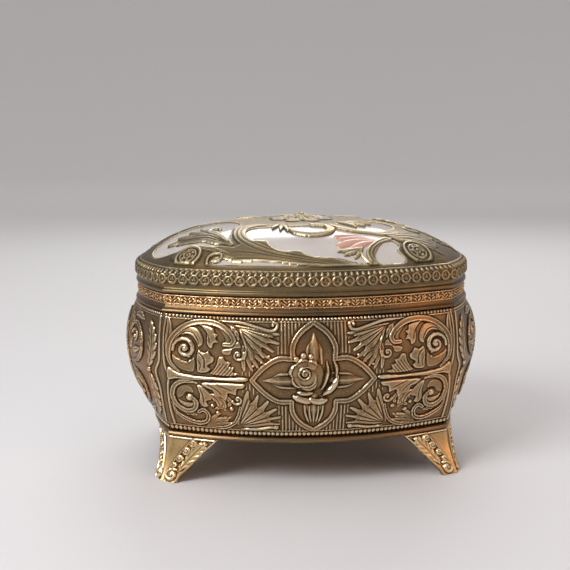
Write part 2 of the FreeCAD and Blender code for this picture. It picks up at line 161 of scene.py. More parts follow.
class Relief:
    """Heights over a grid of (x, y) points; each stroke keeps whatever stands higher."""

    def __init__(self, x, y):
        self.x, self.y = x, y
        self.h = np.zeros_like(x)

    def near(self, low, high):
        return np.nonzero((self.x > low[0]) & (self.x < high[0])
                          & (self.y > low[1]) & (self.y < high[1]))

    def along(self, pts, reach):
        """Cells near a line: their indices, place along it (0 to 1) and signed distance."""
        where = self.near(pts.min(0) - reach, pts.max(0) + reach)
        px, py = self.x[where], self.y[where]
        seg = np.diff(pts, axis=0)
        length = np.hypot(*seg.T)
        total = np.concatenate([[0], np.cumsum(length)])
        best = np.full(px.shape, 1e9)
        place = np.zeros(px.shape)
        for (ax, ay), (dx, dy), n, s in zip(pts[:-1], seg, length, total):
            if n < 1e-9:
                continue
            t = np.clip(((px - ax) * dx + (py - ay) * dy) / (n * n), 0, 1)
            ox, oy = px - ax - t * dx, py - ay - t * dy
            d = np.hypot(ox, oy)
            closer = d < np.abs(best)
            sign = np.where(dx * oy - dy * ox >= 0, 1.0, -1.0)
            best = np.where(closer, d * sign, best)
            place = np.where(closer, (s + t * n) / total[-1], place)
        return where, place, best

    def top(self, where, value):
        self.h[where] = np.maximum(self.h[where], value)

    def stroke(self, pts, width, height, shape="round", taper=(1, 1), ease=0.18):
        """Raised line; taper gives the share of the width at either end."""
        where, s, d = self.along(pts, width * 1.2)
        ends = np.minimum(s / ease, 1) * (1 - taper[0]) + taper[0]
        ends = ends * (np.minimum((1 - s) / ease, 1) * (1 - taper[1]) + taper[1])
        w = width * np.maximum(ends, 0.05)
        q = np.clip(np.abs(d) / w, 0, 1)
        if shape == "round":
            value = arch(q)
        elif shape == "strap":       # two fine ridges with a hollow between
            value = (0.72 + 0.28 * np.cos((q - 0.62) / 0.38 * math.pi * 0.5)
                     * (q > 0.24)) * smooth((1 - q) / 0.22)
            value = np.where(q < 0.3, 0.66 + 0.1 * q, value)
        elif shape == "ridge":
            value = (1 - q) ** 0.8
        elif shape == "band":        # flat fillet with rolled edges
            value = smooth((1 - q) / 0.3) * (0.78 + 0.22 * np.exp(-((q - 0.62) / 0.16) ** 2))
        else:                        # a low roll with a sharp far edge
            side = d / w
            value = np.where(np.abs(side) < 1, (0.45 + 0.55 * (side + 1) / 2)
                             * smooth((1 - q) / 0.25), 0)
        value = np.where(np.abs(d) < w, value, 0)
        self.top(where, height * value * np.clip(0.45 + 0.55 * ends, 0, 1))

    def bead(self, cx, cy, r, height):
        where = self.near((cx - r, cy - r), (cx + r, cy + r))
        q = np.hypot(self.x[where] - cx, self.y[where] - cy) / r
        self.top(where, height * arch(q))

    def ring(self, cx, cy, r, width, height):
        reach = r + width
        where = self.near((cx - reach, cy - reach), (cx + reach, cy + reach))
        q = np.abs(np.hypot(self.x[where] - cx, self.y[where] - cy) - r) / width
        self.top(where, height * arch(q))

    def volute(self, cx, cy, r, start, turns, width=0.5, height=0.9, ball=0.32):
        self.stroke(spiral(cx, cy, r, r * 0.12, start, turns), width, height,
                    taper=(1, 0.55), ease=0.9)
        self.bead(cx, cy, r * ball, height * 1.15)

    def leaf(self, points, width, height, lobes=5, depth=0.35, slant=0.8, sides=(1, 1),
             blunt=0.75, vein=0.3):
        """Lobed leaf along a midrib; sides gives the share of its width left and right."""
        pts = curve(points)
        length = np.hypot(*np.diff(pts, axis=0).T).sum()
        where, s, d = self.along(pts, width * 1.25)
        side = np.where(d > 0, sides[0], sides[1])
        across = np.abs(d)
        u = np.clip(s - slant * across / length, 0, 1)
        env = np.sin(math.pi * np.clip(u, 0, 1) ** blunt) ** 0.75
        lobing = 1 - depth * (1 - np.abs(np.sin(math.pi * lobes * u)) ** 0.7)
        w = width * side * env * lobing + 0.02
        e = w - across
        body = smooth(e / 0.35) * (0.58 + 0.42 * arch(across / w))
        groove = vein * np.exp(-(across / 0.22) ** 2) * (s < 0.93)
        ribs = 0.16 * (0.5 + 0.5 * np.cos(2 * math.pi * lobes * u)) * smooth(across / (0.5 * width))
        value = height * body * (1 - groove - ribs)
        self.top(where, np.where((e > 0) & (s > 0.001) & (s < 0.999), value, 0))

    def blade(self, pts, width, height):
        """Broad pointed finger of a leaf, widest beyond its middle."""
        where, s, d = self.along(pts, width * 1.2)
        w = width * np.minimum(0.55 + 0.75 * s, 1) * np.sqrt(np.clip(1 - s ** 2.4, 0, 1)) + 0.02
        q = np.clip(np.abs(d) / w, 0, 1)
        vein = 0.16 * np.exp(-(d / 0.16) ** 2)
        value = smooth((1 - q) / 0.42) * (0.66 + 0.34 * (1 - q) - vein) * (0.74 + 0.26 * s)
        self.top(where, np.where(q < 1, height * value, 0))

    def frond(self, base, tips, width, height):
        """Acanthus spray: overlapping pointed fingers from one base to several tips."""
        for tx, ty, bend in tips:
            mx, my = (base[0] + tx) / 2, (base[1] + ty) / 2
            nx, ny = -(ty - base[1]), tx - base[0]
            self.blade(curve([base, (mx + nx * bend, my + ny * bend), (tx, ty)], 8), width, height)

    def plate(self, outline, height, edge=0.5, crown=0.2, per=4):
        """Raised patch inside a closed outline, rounded over at its edge."""
        pts = curve(outline, per, closed=True)
        where, _, d = self.along(pts, 0.1)
        inside = in_polygon(self.x[where], self.y[where], pts)
        dist = np.minimum(np.abs(d), 2.0)
        value = smooth(dist / edge) * (1 - crown + crown * dist / 2.0)
        self.top(where, np.where(inside, height * value, 0))

    def acanthus(self, base, outline, tips, height):
        """Broad leaf with a toothed edge, veined from its base to every tooth."""
        self.plate(outline, height, 0.55, 0.35, per=3)
        for k, (tx, ty) in enumerate(tips):
            mx, my = (base[0] + tx) / 2, (base[1] + ty) / 2
            self.groove(curve([base, (mx, my), (tx, ty)], 5), 0.17, 0.3)
            if k:
                px, py = tips[k - 1]
                cx, cy = (px + tx) / 2, (py + ty) / 2
                self.stroke(curve([((base[0] + cx) / 2, (base[1] + cy) / 2), (cx, cy)], 5),
                            0.42, height + 0.26, "ridge", taper=(0.1, 0.7), ease=0.6)

    def groove(self, pts, width, depth):
        """Engraved line, cut only into what already stands up."""
        where, s, d = self.along(pts, width * 3)
        cut = depth * np.exp(-(d / width) ** 2) * np.minimum(np.minimum(s, 1 - s) / 0.12, 1)
        self.h[where] = np.where(self.h[where] > 0.2, self.h[where] - cut, self.h[where])


def cell_noise(x, y, pitch, seed=0):
    """Distance to the nearest of a set of scattered points, one to a cell of the pitch."""
    gx, gy = np.floor(x / pitch), np.floor(y / pitch)
    best = np.full(x.shape, 9.0)
    for ix in (-1, 0, 1):
        for iy in (-1, 0, 1):
            cx, cy = gx + ix, gy + iy
            n = np.sin(cx * 127.1 + cy * 311.7 + seed) * 43758.5453
            m = np.sin(cx * 269.5 + cy * 183.3 + seed) * 43758.5453
            px = (cx + 0.15 + 0.7 * (n - np.floor(n))) * pitch
            py = (cy + 0.15 + 0.7 * (m - np.floor(m))) * pitch
            best = np.minimum(best, np.hypot(x - px, y - py) / pitch)
    return best


def stipple(x, y, pitch, depth, seed=0):
    return depth * (np.clip(cell_noise(x, y, pitch, seed), 0, 0.8) / 0.8 - 0.5)


def blur(a, n):
    """Box blur by n cells each way, twice."""
    for _ in range(2):
        for axis in (0, 1):
            pad = [(n + 1, n) if k == axis else (0, 0) for k in (0, 1)]
            c = np.cumsum(np.pad(a, pad, mode="edge"), axis=axis)
            a = (np.take(c, range(2 * n + 1, c.shape[axis]), axis)
                 - np.take(c, range(0, c.shape[axis] - 2 * n - 1), axis)) / (2 * n + 1)
    return a


def settle(ground, figure):
    """Figures over their ground, with a narrow sunk line round every figure."""
    mask = (figure > 0.3).astype(float)
    trench = np.clip(blur(mask, 2) * 2.4, 0, 1) * (1 - mask)
    return np.maximum(ground + 0.24 - 0.5 * trench, np.where(figure > 0, figure, -9))


# ---- the ornament of the long panels ----------------------------------------------------


FLOWER_Z = 32.0              # middle of the quatrefoil above the table


def long_panel(x, z):
    """Quatrefoil with a rose, between mirrored scrolls; x across, z up from the table."""
    r = Relief(x, z)
    m = Relief(-np.abs(x), z)    # scrolls are drawn once for the left half
    # corner brace and slim leaf
    m.stroke(curve([(-42.0, 49), (-42.5, 44), (-42.4, 38), (-41.9, 34), (-40.9, 31.4)]), 0.45, 0.7)
    m.stroke(curve([(-40.9, 31.4), (-41.6, 28), (-41.7, 22), (-41.2, 16.8)]), 0.45, 0.7)
    m.leaf([(-41.6, 49.3), (-40.9, 46), (-41.1, 42), (-41.8, 37)], 1.1, 0.8, lobes=1, depth=0)
    # branching stem, broad at the corner and pointed towards the flower
    m.plate([(-41.2, 34.4), (-38.2, 33.0), (-33.5, 32.5), (-26, 32.4), (-19.4, 32.9), (-18.2, 32.1),
             (-20, 31.3), (-27, 31.3), (-34, 30.9), (-38.6, 30.9), (-41.4, 30.4)], 1.15, 0.35, 0.2)
    m.groove(curve([(-40, 31.9), (-34, 31.5), (-27, 31.75)]), 0.16, 0.22)
    # upper scroll with a hooked end
    m.stroke(curve([(-38.0, 33.2), (-40.3, 35.6), (-40.9, 38.6), (-40.2, 42.2), (-38.0, 45.2),
                    (-34.8, 47.2), (-31, 47.9), (-27, 47.4), (-23.9, 45.6), (-22.4, 43.4),
                    (-23.2, 41.9), (-25.0, 41.9)]), 0.95, 1.15, "band", taper=(0.45, 0.7),
             ease=0.25)
    m.plate([(-40.0, 38.4), (-39.8, 35.6), (-37.4, 33.6), (-33.9, 33.2), (-33.0, 35.4),
             (-33.4, 38.0), (-35.6, 36.6), (-38.0, 37.2)], 0.72, 0.5, 0.3)
    m.plate([(-28.3, 46.9), (-25.6, 46.6), (-23.2, 44.6), (-22.6, 42.6), (-24.2, 41.4),
             (-25.6, 42.0), (-25.1, 43.4), (-26.4, 45.2)], 0.85, 0.7, 0.5)
    # hood over the volute
    m.plate([(-39.7, 40.8), (-38.8, 44.0), (-36.0, 46.4), (-32.8, 46.3), (-30.9, 43.8),
             (-30.9, 41.4), (-32.4, 40.5), (-33.2, 42.4), (-35.0, 43.9), (-37.6, 43.3)],
            0.95, 0.5, 0.3)
    m.groove(curve([(-38.6, 42.6), (-36.4, 44.7), (-33.9, 44.6), (-32.4, 42.8), (-32.4, 41.2)]),
             0.16, 0.3)
    m.stroke(spiral(-36.2, 40.0, 3.5, 0.3, 190, -1.7), 0.72, 1.1, taper=(0.7, 0.8), ease=0.5)
    m.bead(-36.2, 40.0, 0.9, 1.25)
    m.plate([(-40.2, 38.6), (-39.6, 36.0), (-37.4, 34.0), (-34.0, 33.6), (-33.6, 34.6),
             (-35.6, 35.4), (-37.2, 37.0), (-38.6, 37.6)], 0.8, 0.6, 0.4)
    m.bead(-34.9, 37.9, 0.5, 0.9)
    m.bead(-34.7, 36.5, 0.5, 0.9)
    # lobed leaves inside the scroll
    m.plate([(-33.6, 47.4), (-30.6, 47.2), (-28.0, 46.5), (-27.6, 45.2), (-26.5, 44.6),
             (-27.2, 43.6), (-26.4, 42.4), (-27.8, 41.9), (-28.3, 40.4), (-29.6, 41.0),
             (-30.1, 42.4), (-30.2, 44.6), (-31.6, 46.4)], 1.0, 0.45, 0.2, per=3)
    m.groove(curve([(-32.6, 46.4), (-30.2, 45.2), (-29.2, 43.2), (-29.2, 41.8)]), 0.18, 0.3)
    m.plate([(-32.9, 38.6), (-32.2, 40.2), (-30.8, 39.5), (-29.4, 40.0), (-28.4, 38.6),
             (-27.6, 38.2), (-27.9, 36.6), (-29.4, 35.6), (-28.6, 34.8), (-29.8, 33.4),
             (-32.6, 33.3), (-32.9, 35.6)], 1.0, 0.45, 0.25, per=3)
    m.groove(curve([(-32.4, 39.4), (-30.6, 37.6), (-30.6, 34.6)]), 0.18, 0.28)
    m.groove(curve([(-32.6, 37.4), (-31.6, 35.8), (-32.2, 33.8)]), 0.15, 0.2)
    m.plate([(-29.2, 33.1), (-28.2, 34.7), (-27.2, 36.4), (-26.8, 38.3), (-25.2, 38.6),
             (-24.4, 37.4), (-22.9, 37.0), (-23.4, 35.9), (-22.0, 35.6), (-22.4, 34.3),
             (-20.6, 33.9), (-21.6, 33.0), (-25, 32.7)], 0.9, 0.4, 0.2, per=3)
    for k in range(9):
        x0 = -29.2 + k
        m.groove(curve([(x0, 32.6), (x0 + 1.6, 34.4), (x0 + 3.4, 36.8)], 4), 0.14, 0.2)
    m.volute(-21.1, 39.1, 1.75, 20, -1.4, 0.5, 0.95)
    m.stroke(curve([(-21.0, 46.6), (-19.6, 43.8), (-18.8, 40.6), (-19.4, 38.2)]), 0.45, 0.95,
             taper=(0.3, 1))
    m.plate([(-26.0, 40.2), (-24.6, 40.9), (-22.9, 41.2), (-21.6, 43.0), (-20.4, 42.6),
             (-20.2, 41.0), (-22.4, 40.6), (-23.2, 38.9), (-25.2, 38.9)], 0.7, 0.45, 0.2, per=3)
    m.leaf([(-23.6, 47.2), (-21.6, 45.2), (-20.9, 42.8)], 0.9, 0.8, lobes=3)
    # upper acanthus and its curled tip
    m.acanthus((-21.8, 47.0),
               [(-22.6, 47.6), (-18.0, 47.2), (-12.4, 46.2), (-9.8, 45.7), (-9.3, 44.7),
                (-12.0, 44.2), (-9.5, 43.1), (-9.8, 42.0), (-12.8, 42.4), (-10.8, 40.7),
                (-11.6, 39.7), (-14.4, 41.2), (-13.2, 39.0), (-14.4, 38.1), (-16.4, 40.4),
                (-16.4, 38.0), (-17.8, 37.4), (-18.9, 40.0), (-19.4, 43.6), (-21.0, 45.8)],
               [(-10.6, 44.9), (-12.4, 43.9), (-12.8, 42.2), (-14.4, 41.0), (-16.4, 40.0),
                (-18.2, 39.2)], 0.95)
    m.frond((-19.6, 41.4), [(-12.0, 38.2, 0.06), (-13.6, 36.6, 0.04), (-15.4, 35.4, 0.02),
                            (-17.2, 34.6, 0.0), (-19.4, 34.4, -0.03)], 0.95, 0.8)
    for bx, bz in ((-14.6, 37.2), (-16.9, 36.1), (-12.6, 39.0)):
        m.bead(bx, bz, 0.42, 1.05)
    m.stroke(curve([(-25.6, 48.3), (-20.4, 48.1), (-16.0, 47.0), (-12.6, 46.1), (-10.8, 46.4),
                    (-10.3, 47.8), (-11.3, 48.4)]), 0.5, 1.0, taper=(0.3, 1))
    m.bead(-11.5, 47.6, 0.6, 1.15)
    # big lobed leaf under the stem
    m.plate([(-32.0, 30.5), (-30.4, 28.8), (-28.7, 28.2), (-28.0, 26.4), (-26.6, 26.4),
             (-25.0, 25.2), (-24.2, 26.6), (-24.0, 27.7), (-21.9, 27.1), (-21.5, 29.0),
             (-19.9, 29.3), (-19.0, 30.8), (-21.0, 31.0), (-26.0, 30.9)], 1.0, 0.4, 0.15, per=3)
    m.groove(curve([(-30.2, 30.2), (-27.6, 28.9), (-25.8, 27.2)]), 0.16, 0.22)
    m.groove(curve([(-27.8, 30.4), (-25.4, 29.6), (-22.8, 28.6)]), 0.16, 0.22)
    # lower scroll: bowl, rolled rim and ball
    m.stroke(curve([(-33.0, 30.2), (-36.4, 30.5), (-39.2, 29.2), (-40.4, 26.2), (-39.5, 23.3),
                    (-37.0, 21.6), (-34.4, 22.2), (-33.6, 24.4), (-35.0, 25.9)]),
             0.8, 1.05, "band", taper=(0.4, 0.9), ease=0.25)
    m.plate([(-39.2, 25.4), (-38.6, 23.4), (-36.4, 22.2), (-34.2, 23.0), (-33.9, 24.6),
             (-35.6, 24.2), (-37.4, 24.4)], 1.0, 0.5, 0.5)
    m.bead(-35.5, 25.6, 1.15, 1.3)
    m.stroke(curve([(-41.0, 23.8), (-39.8, 20.6), (-36.6, 18.7), (-33.4, 18.0), (-31.0, 18.9),
                    (-30.5, 21.0), (-31.8, 22.2), (-33.2, 21.4)]), 0.7, 1.0, "strap",
             taper=(0.3, 0.8), ease=0.3)
    m.plate([(-33.3, 29.7), (-31.4, 29.6), (-29.4, 27.8), (-28.2, 26.4), (-29.2, 25.2),
             (-30.4, 24.8), (-29.9, 23.4), (-31.6, 22.8), (-32.9, 24.4), (-32.6, 27.0)],
            0.95, 0.45, 0.25, per=3)
    m.plate([(-39.4, 27.4), (-37.6, 29.2), (-35.0, 29.3), (-33.9, 27.6), (-34.4, 26.9),
             (-36.2, 27.0), (-37.4, 25.6), (-39.2, 25.0)], 0.6, 0.4, 0.2)
    m.groove(curve([(-32.2, 28.8), (-31.4, 26.4), (-31.4, 24.0)]), 0.16, 0.25)
    m.leaf([(-29.6, 27.4), (-27.6, 25.8), (-26.4, 23.4)], 1.4, 0.85, lobes=2)
    m.leaf([(-26.8, 26.4), (-25.6, 24.6), (-25.4, 22.8)], 1.0, 0.8, lobes=2)
    m.volute(-21.6, 25.9, 1.55, 200, 1.3, 0.48, 0.95)
    m.leaf([(-24.8, 27.2), (-23.8, 25.2), (-24.6, 23.4)], 0.9, 0.75, lobes=2)
    m.leaf([(-28.6, 22.6), (-26.4, 23.4), (-24.9, 22.0)], 0.8, 0.7, lobes=3)
    m.leaf([(-30.0, 20.4), (-28.2, 19.6), (-25.6, 19.6), (-23.4, 20.8)], 1.0, 0.75, lobes=4)
    m.leaf([(-37.6, 20.4), (-35.6, 20.6), (-33.4, 20.2)], 0.8, 0.7, lobes=3)
    for berry in ((-23.5, 23.0, 0.75, 1.1), (-27.6, 21.5, 0.7, 1.05), (-29.0, 23.6, 0.6, 1.0)):
        m.bead(*berry)
    m.frond((-31.0, 17.0), [(-26.8, 21.6, 0.1), (-25.0, 20.4, 0.08), (-23.6, 18.6, 0.05)],
            0.85, 0.85)
    m.stroke(curve([(-30.0, 16.9), (-26.0, 17.2), (-23.2, 18.6), (-21.6, 21.0), (-20.9, 23.6)]),
             0.6, 1.0, "strap", taper=(0.2, 0.8))
    # lower acanthus
    m.acanthus((-21.9, 17.8),
               [(-22.4, 18.0), (-21.4, 22.4), (-20.0, 27.2), (-19.0, 29.0), (-18.0, 28.6),
                (-17.9, 25.6), (-16.2, 28.0), (-15.2, 27.4), (-15.8, 24.2), (-13.4, 26.4),
                (-12.3, 25.6), (-13.9, 22.9), (-11.0, 24.1), (-10.2, 23.1), (-12.5, 21.3),
                (-9.6, 21.7), (-9.3, 20.5), (-12.2, 19.7), (-9.7, 19.3), (-9.8, 18.3),
                (-13.4, 18.0), (-18.0, 17.4)],
               [(-18.5, 27.0), (-17.9, 25.0), (-15.9, 23.8), (-14.1, 22.7), (-12.7, 21.2),
                (-12.4, 19.6)], 0.9)
    m.stroke(curve([(-21.0, 17.0), (-16.0, 17.1), (-12.6, 17.7), (-11.2, 17.7)]), 0.5, 0.95,
             taper=(0.3, 1))
    m.bead(-10.9, 17.8, 0.85, 1.15)
    scroll = m.h

    # quatrefoil: double outline, sunk stippled field, a ribbed leaf in each petal
    cz = FLOWER_Z
    petals = [[(-5.9, 38.3), (-5.9, 42.0), (-3.8, 45.6), (0, 48.4), (3.8, 45.6), (5.9, 42.0),
               (5.9, 38.3)],
              [(-5.9, 38.3), (-10.0, 38.3), (-14.2, 35.6), (-17.4, 32.0), (-14.2, 28.6),
               (-10.4, 26.0), (-6.3, 25.8)],
              [(-6.3, 25.8), (-6.0, 22.4), (-3.8, 19.2), (0, 16.9), (3.8, 19.2), (6.0, 22.4),
               (6.3, 25.8)],
              [(5.9, 38.3), (10.0, 38.3), (14.2, 35.6), (17.4, 32.0), (14.2, 28.6),
               (10.4, 26.0), (6.3, 25.8)]]
    inside = np.zeros(x.shape, bool)
    for pts in petals:
        tip = pts[3]
        arcs = [curve(pts[:4], 8), curve(pts[3:], 8)]
        outline = np.vstack([arcs[0], arcs[1], [[0, cz]]])
        inside |= in_polygon(x, z, outline)
        for arc in arcs:
            r.stroke(arc, 0.85, 0.95, "band", taper=(0.9, 0.9))
        direction = np.array([tip[0], tip[1] - cz])
        a, b = [0, cz] + direction * 0.84, [0, cz] + direction * 0.3
        across = np.array([-direction[1], direction[0]]) / np.hypot(*direction)
        r.stroke(curve([tuple(a), tuple((a + b) / 2), tuple(b)]), 2.2, 1.05, "ridge",
                 taper=(0.06, 0.7), ease=0.5)
        for side in (-1.15, 1.15):
            low_leaf = [a - direction * 0.12 + across * 0.3 * side,
                        (a + b) / 2 + across * side * 1.5, b + across * side * 1.9]
            r.stroke(curve([tuple(q) for q in low_leaf]), 0.9, 0.72, "ridge", taper=(0.1, 0.6),
                     ease=0.5)
    # cabbage rose: mound, wrapped petals, tight bud
    bx, bz = -2.2, 33.9
    r.bead(bx + 0.2, bz - 0.4, 5.0, 1.2)
    for ang, reach, size, turn in ((60, 4.4, 1.9, 0.3), (112, 4.5, 2.2, 0.34),
                                   (165, 4.6, 2.4, 0.36), (222, 4.5, 2.6, 0.38),
                                   (285, 4.6, 2.9, 0.4)):
        px = bx + (reach - size) * math.cos(math.radians(ang))
        pz = bz + (reach - size) * math.sin(math.radians(ang))
        r.bead(px, pz, size + 0.25, 1.32)
        r.stroke(spiral(px, pz, size, size * 0.96, ang - 180 * turn, turn, 30), 0.5, 1.62, "fold",
                 taper=(0.25, 0.25), ease=0.35)
    r.bead(bx + 0.4, bz - 0.9, 3.3, 1.72)
    r.stroke(spiral(bx + 0.3, bz - 0.8, 3.5, 2.3, -170, 0.62, 18), 0.62, 1.95, "fold",
             taper=(0.3, 0.4), ease=0.4)
    r.stroke(spiral(bx - 0.2, bz - 0.1, 2.9, 1.9, 20, 0.7, 18), 0.55, 1.98, "fold",
             taper=(0.3, 0.4), ease=0.4)
    r.bead(bx - 0.3, bz + 0.4, 1.8, 2.0)
    r.stroke(spiral(bx - 0.3, bz + 0.4, 1.7, 0.2, 200, 1.7, 18), 0.38, 2.35, taper=(0.8, 0.8))
    for px, pz in ((-5.0, 38.2), (-3.0, 39.2), (-0.8, 38.9)):
        r.bead(px, pz, 0.95, 1.25)

    # two long turned petals, and the leaves below
    r.stroke(curve([(3.5, 37.6), (3.9, 34.6), (3.1, 31.4), (2.1, 29.4)]), 0.95, 1.7, "ridge",
             taper=(0.3, 0.3), ease=0.4)
    r.stroke(curve([(5.3, 38.2), (6.3, 35.6), (6.2, 32.9)]), 0.8, 1.6, "ridge",
             taper=(0.3, 0.6), ease=0.4)
    r.stroke(curve([(6.7, 33.2), (5.6, 30.6), (4.2, 29.0), (2.7, 27.9)]), 1.05, 1.85,
             taper=(0.35, 0.35), ease=0.3)
    r.stroke(curve([(-5.6, 27.3), (-3.4, 26.4), (-1.4, 25.9)]), 1.1, 1.6, taper=(0.6, 0.8))
    r.stroke(curve([(-0.9, 26.4), (1.2, 25.8), (3.4, 26.2)]), 1.05, 1.65, taper=(0.8, 0.6))
    r.stroke(curve([(-4.6, 28.6), (-2.6, 28.2), (-0.6, 28.4)]), 0.7, 1.2, taper=(0.5, 0.5))
    for k in range(5):
        x0 = -2.6 + 1.3 * k
        r.stroke(curve([(x0, 24.4), (x0 * 0.9, 22.0), (x0 * 0.5, 19.2)]), 0.62, 0.95, "ridge",
                 taper=(1, 0.3))

    # grounds: upright reeding round the quatrefoil, fine stipple elsewhere
    ax = np.abs(x)
    reeded = (ax < 10.2) | ((ax < 20.5) & (np.abs(z - cz) < 6.3 - 0.12 * ax))
    reeds = 0.3 * np.cos(2 * math.pi * x / 1.0)
    ground = np.where(reeded, 0.02 + reeds, stipple(x, z, 0.55, 0.2, 3))
    ground = np.where(inside, 0.05 + stipple(x, z, 0.5, 0.12, 9), ground)
    h = settle(ground, np.maximum(r.h, np.where(inside, 0, scroll)))
    return panel_edges(h, x, z, 1.32)


def end_panel(y, z):
    """Oval cartouche between scroll strips."""
    m = Relief(-np.abs(y), z)
    oval = np.hypot(y / 7.2, (z - 33.5) / 11.0)
    m.stroke(curve([(0, 46.0), (-5.6, 43.0), (-8.2, 36.0), (-8.2, 30.0), (-5.6, 23.0),
                    (0, 20.4)]), 0.9, 1.15, "strap")
    m.stroke(curve([(0, 43.6), (-4.2, 40.8), (-6.0, 35.6), (-6.0, 30.6), (-4.2, 25.0),
                    (0, 22.6)]), 0.3, 0.6)
    m.leaf([(0, 41.0), (0, 36.0), (0, 30.0)], 3.0, 0.9, lobes=4)
    m.leaf([(0, 24.0), (0, 27.0), (0, 30.6)], 2.4, 0.8, lobes=3)
    m.bead(0, 31.6, 1.5, 1.5)
    m.stroke(curve([(-10.2, 32.0), (-14.0, 32.4), (-18.6, 33.6), (-21.6, 36.8), (-21.4, 41.2),
                    (-18.0, 44.4), (-14.2, 43.9), (-12.6, 41.2), (-14.4, 39.2)]), 0.65, 1.1,
             "strap", taper=(0.2, 0.8), ease=0.3)
    m.volute(-16.6, 40.4, 2.4, 20, 1.4, 0.45, 1.0)
    m.stroke(curve([(-10.4, 30.4), (-14.6, 30.0), (-19.0, 28.4), (-21.0, 25.0), (-19.6, 21.4),
                    (-16.4, 20.6), (-14.6, 22.8), (-16.0, 24.8)]), 0.6, 1.05, "strap",
             taper=(0.2, 0.8), ease=0.3)
    m.bead(-16.8, 23.6, 0.9, 1.2)
    m.leaf([(-10.0, 46.8), (-12.6, 45.2), (-13.0, 42.6)], 1.5, 0.8, lobes=3)
    m.leaf([(-10.6, 36.0), (-13.0, 37.4), (-13.6, 39.6)], 1.3, 0.8, lobes=2)
    m.leaf([(-10.6, 27.6), (-12.8, 25.4), (-13.0, 22.6)], 1.4, 0.8, lobes=3)
    m.leaf([(-25.2, 32.6), (-26.8, 37.0), (-27.2, 42.0), (-25.6, 47.0)], 2.2, 1.0, lobes=6,
           depth=0.4)
    m.leaf([(-25.2, 31.4), (-26.6, 27.0), (-26.8, 22.0), (-25.0, 17.6)], 2.1, 1.0, lobes=6,
           depth=0.4)
    m.bead(-25.0, 32.0, 0.95, 1.25)
    m.leaf([(-20.0, 37.2), (-17.0, 36.4), (-14.0, 35.8)], 1.3, 0.85, lobes=4)
    m.leaf([(-18.8, 26.6), (-15.8, 27.6), (-12.8, 28.2)], 1.2, 0.85, lobes=4)
    m.leaf([(-13.6, 46.4), (-17.4, 47.2), (-21.8, 46.0)], 1.3, 0.85, lobes=5)
    m.leaf([(-15.6, 18.4), (-19.2, 18.2), (-22.8, 20.0)], 1.2, 0.85, lobes=4)
    m.stroke(curve([(-29.9, 48.6), (-30.3, 42), (-30.1, 36), (-28.4, 32), (-29.6, 27),
                    (-29.4, 17)]), 0.5, 0.8)
    m.leaf([(-5.6, 18.0), (-9.6, 18.6), (-13.4, 17.6)], 1.1, 0.8, lobes=3)
    m.bead(-3.4, 18.0, 0.8, 1.0)
    ground = np.where(oval < 0.9, 0.04 + stipple(y, z, 0.5, 0.12, 5),
                      stipple(y, z, 0.62, 0.22, 11))
    reeded = (np.abs(y) < 12.5) & (oval > 1.0)
    ground = np.where(reeded, 0.02 + 0.3 * np.cos(2 * math.pi * y / 1.0), ground)
    h = settle(ground, m.h)
    return panel_edges(h, y, z, 1.3)


def panel_edges(h, across, z, pitch):
    """Rows of beads at head and foot, and plain fillets that frame the panel."""
    foot, head = WALL_Z + 1.15, NECK_Z - 0.75
    k = (across / pitch + 0.5) % 1 - 0.5
    low = np.hypot(k * pitch, z - foot) / 0.62
    fine = 0.82
    k2 = (across / (pitch * fine) + 0.5) % 1 - 0.5
    high = np.hypot(k2 * pitch * fine, z - head) / 0.42
    band = (z < WALL_Z + 1.95) | (z > NECK_Z - 1.25)
    h = np.where(band, 0.3, h)
    h = np.maximum(h, 0.3 + 0.62 * arch(low))
    h = np.maximum(h, 0.3 + 0.4 * arch(high))
    for line, w, height in ((WALL_Z + 2.1, 0.22, 0.62), (NECK_Z - 1.45, 0.2, 0.55)):
        h = np.maximum(h, height * arch((z - line) / w))
    return h


def in_polygon(x, y, poly):
    inside = np.zeros(x.shape, bool)
    x0, y0 = poly[-1]
    for x1, y1 in poly:
        if y0 != y1:
            cross = ((y1 > y) != (y0 > y)) & (x < (x0 - x1) * (y - y1) / (y0 - y1) + x1)
            inside ^= cross
        x0, y0 = x1, y1
    return inside


# ---------------------------------------------------------------------------------------
# Materials
# ---------------------------------------------------------------------------------------


def rgb(r, g, b):
    """Display colour (0-255) to scene-linear."""
    out = []
    for c in (r, g, b):
        c /= 255
        out.append(c / 12.92 if c <= 0.04045 else ((c + 0.055) / 1.055) ** 2.4)
    return (*out, 1.0)


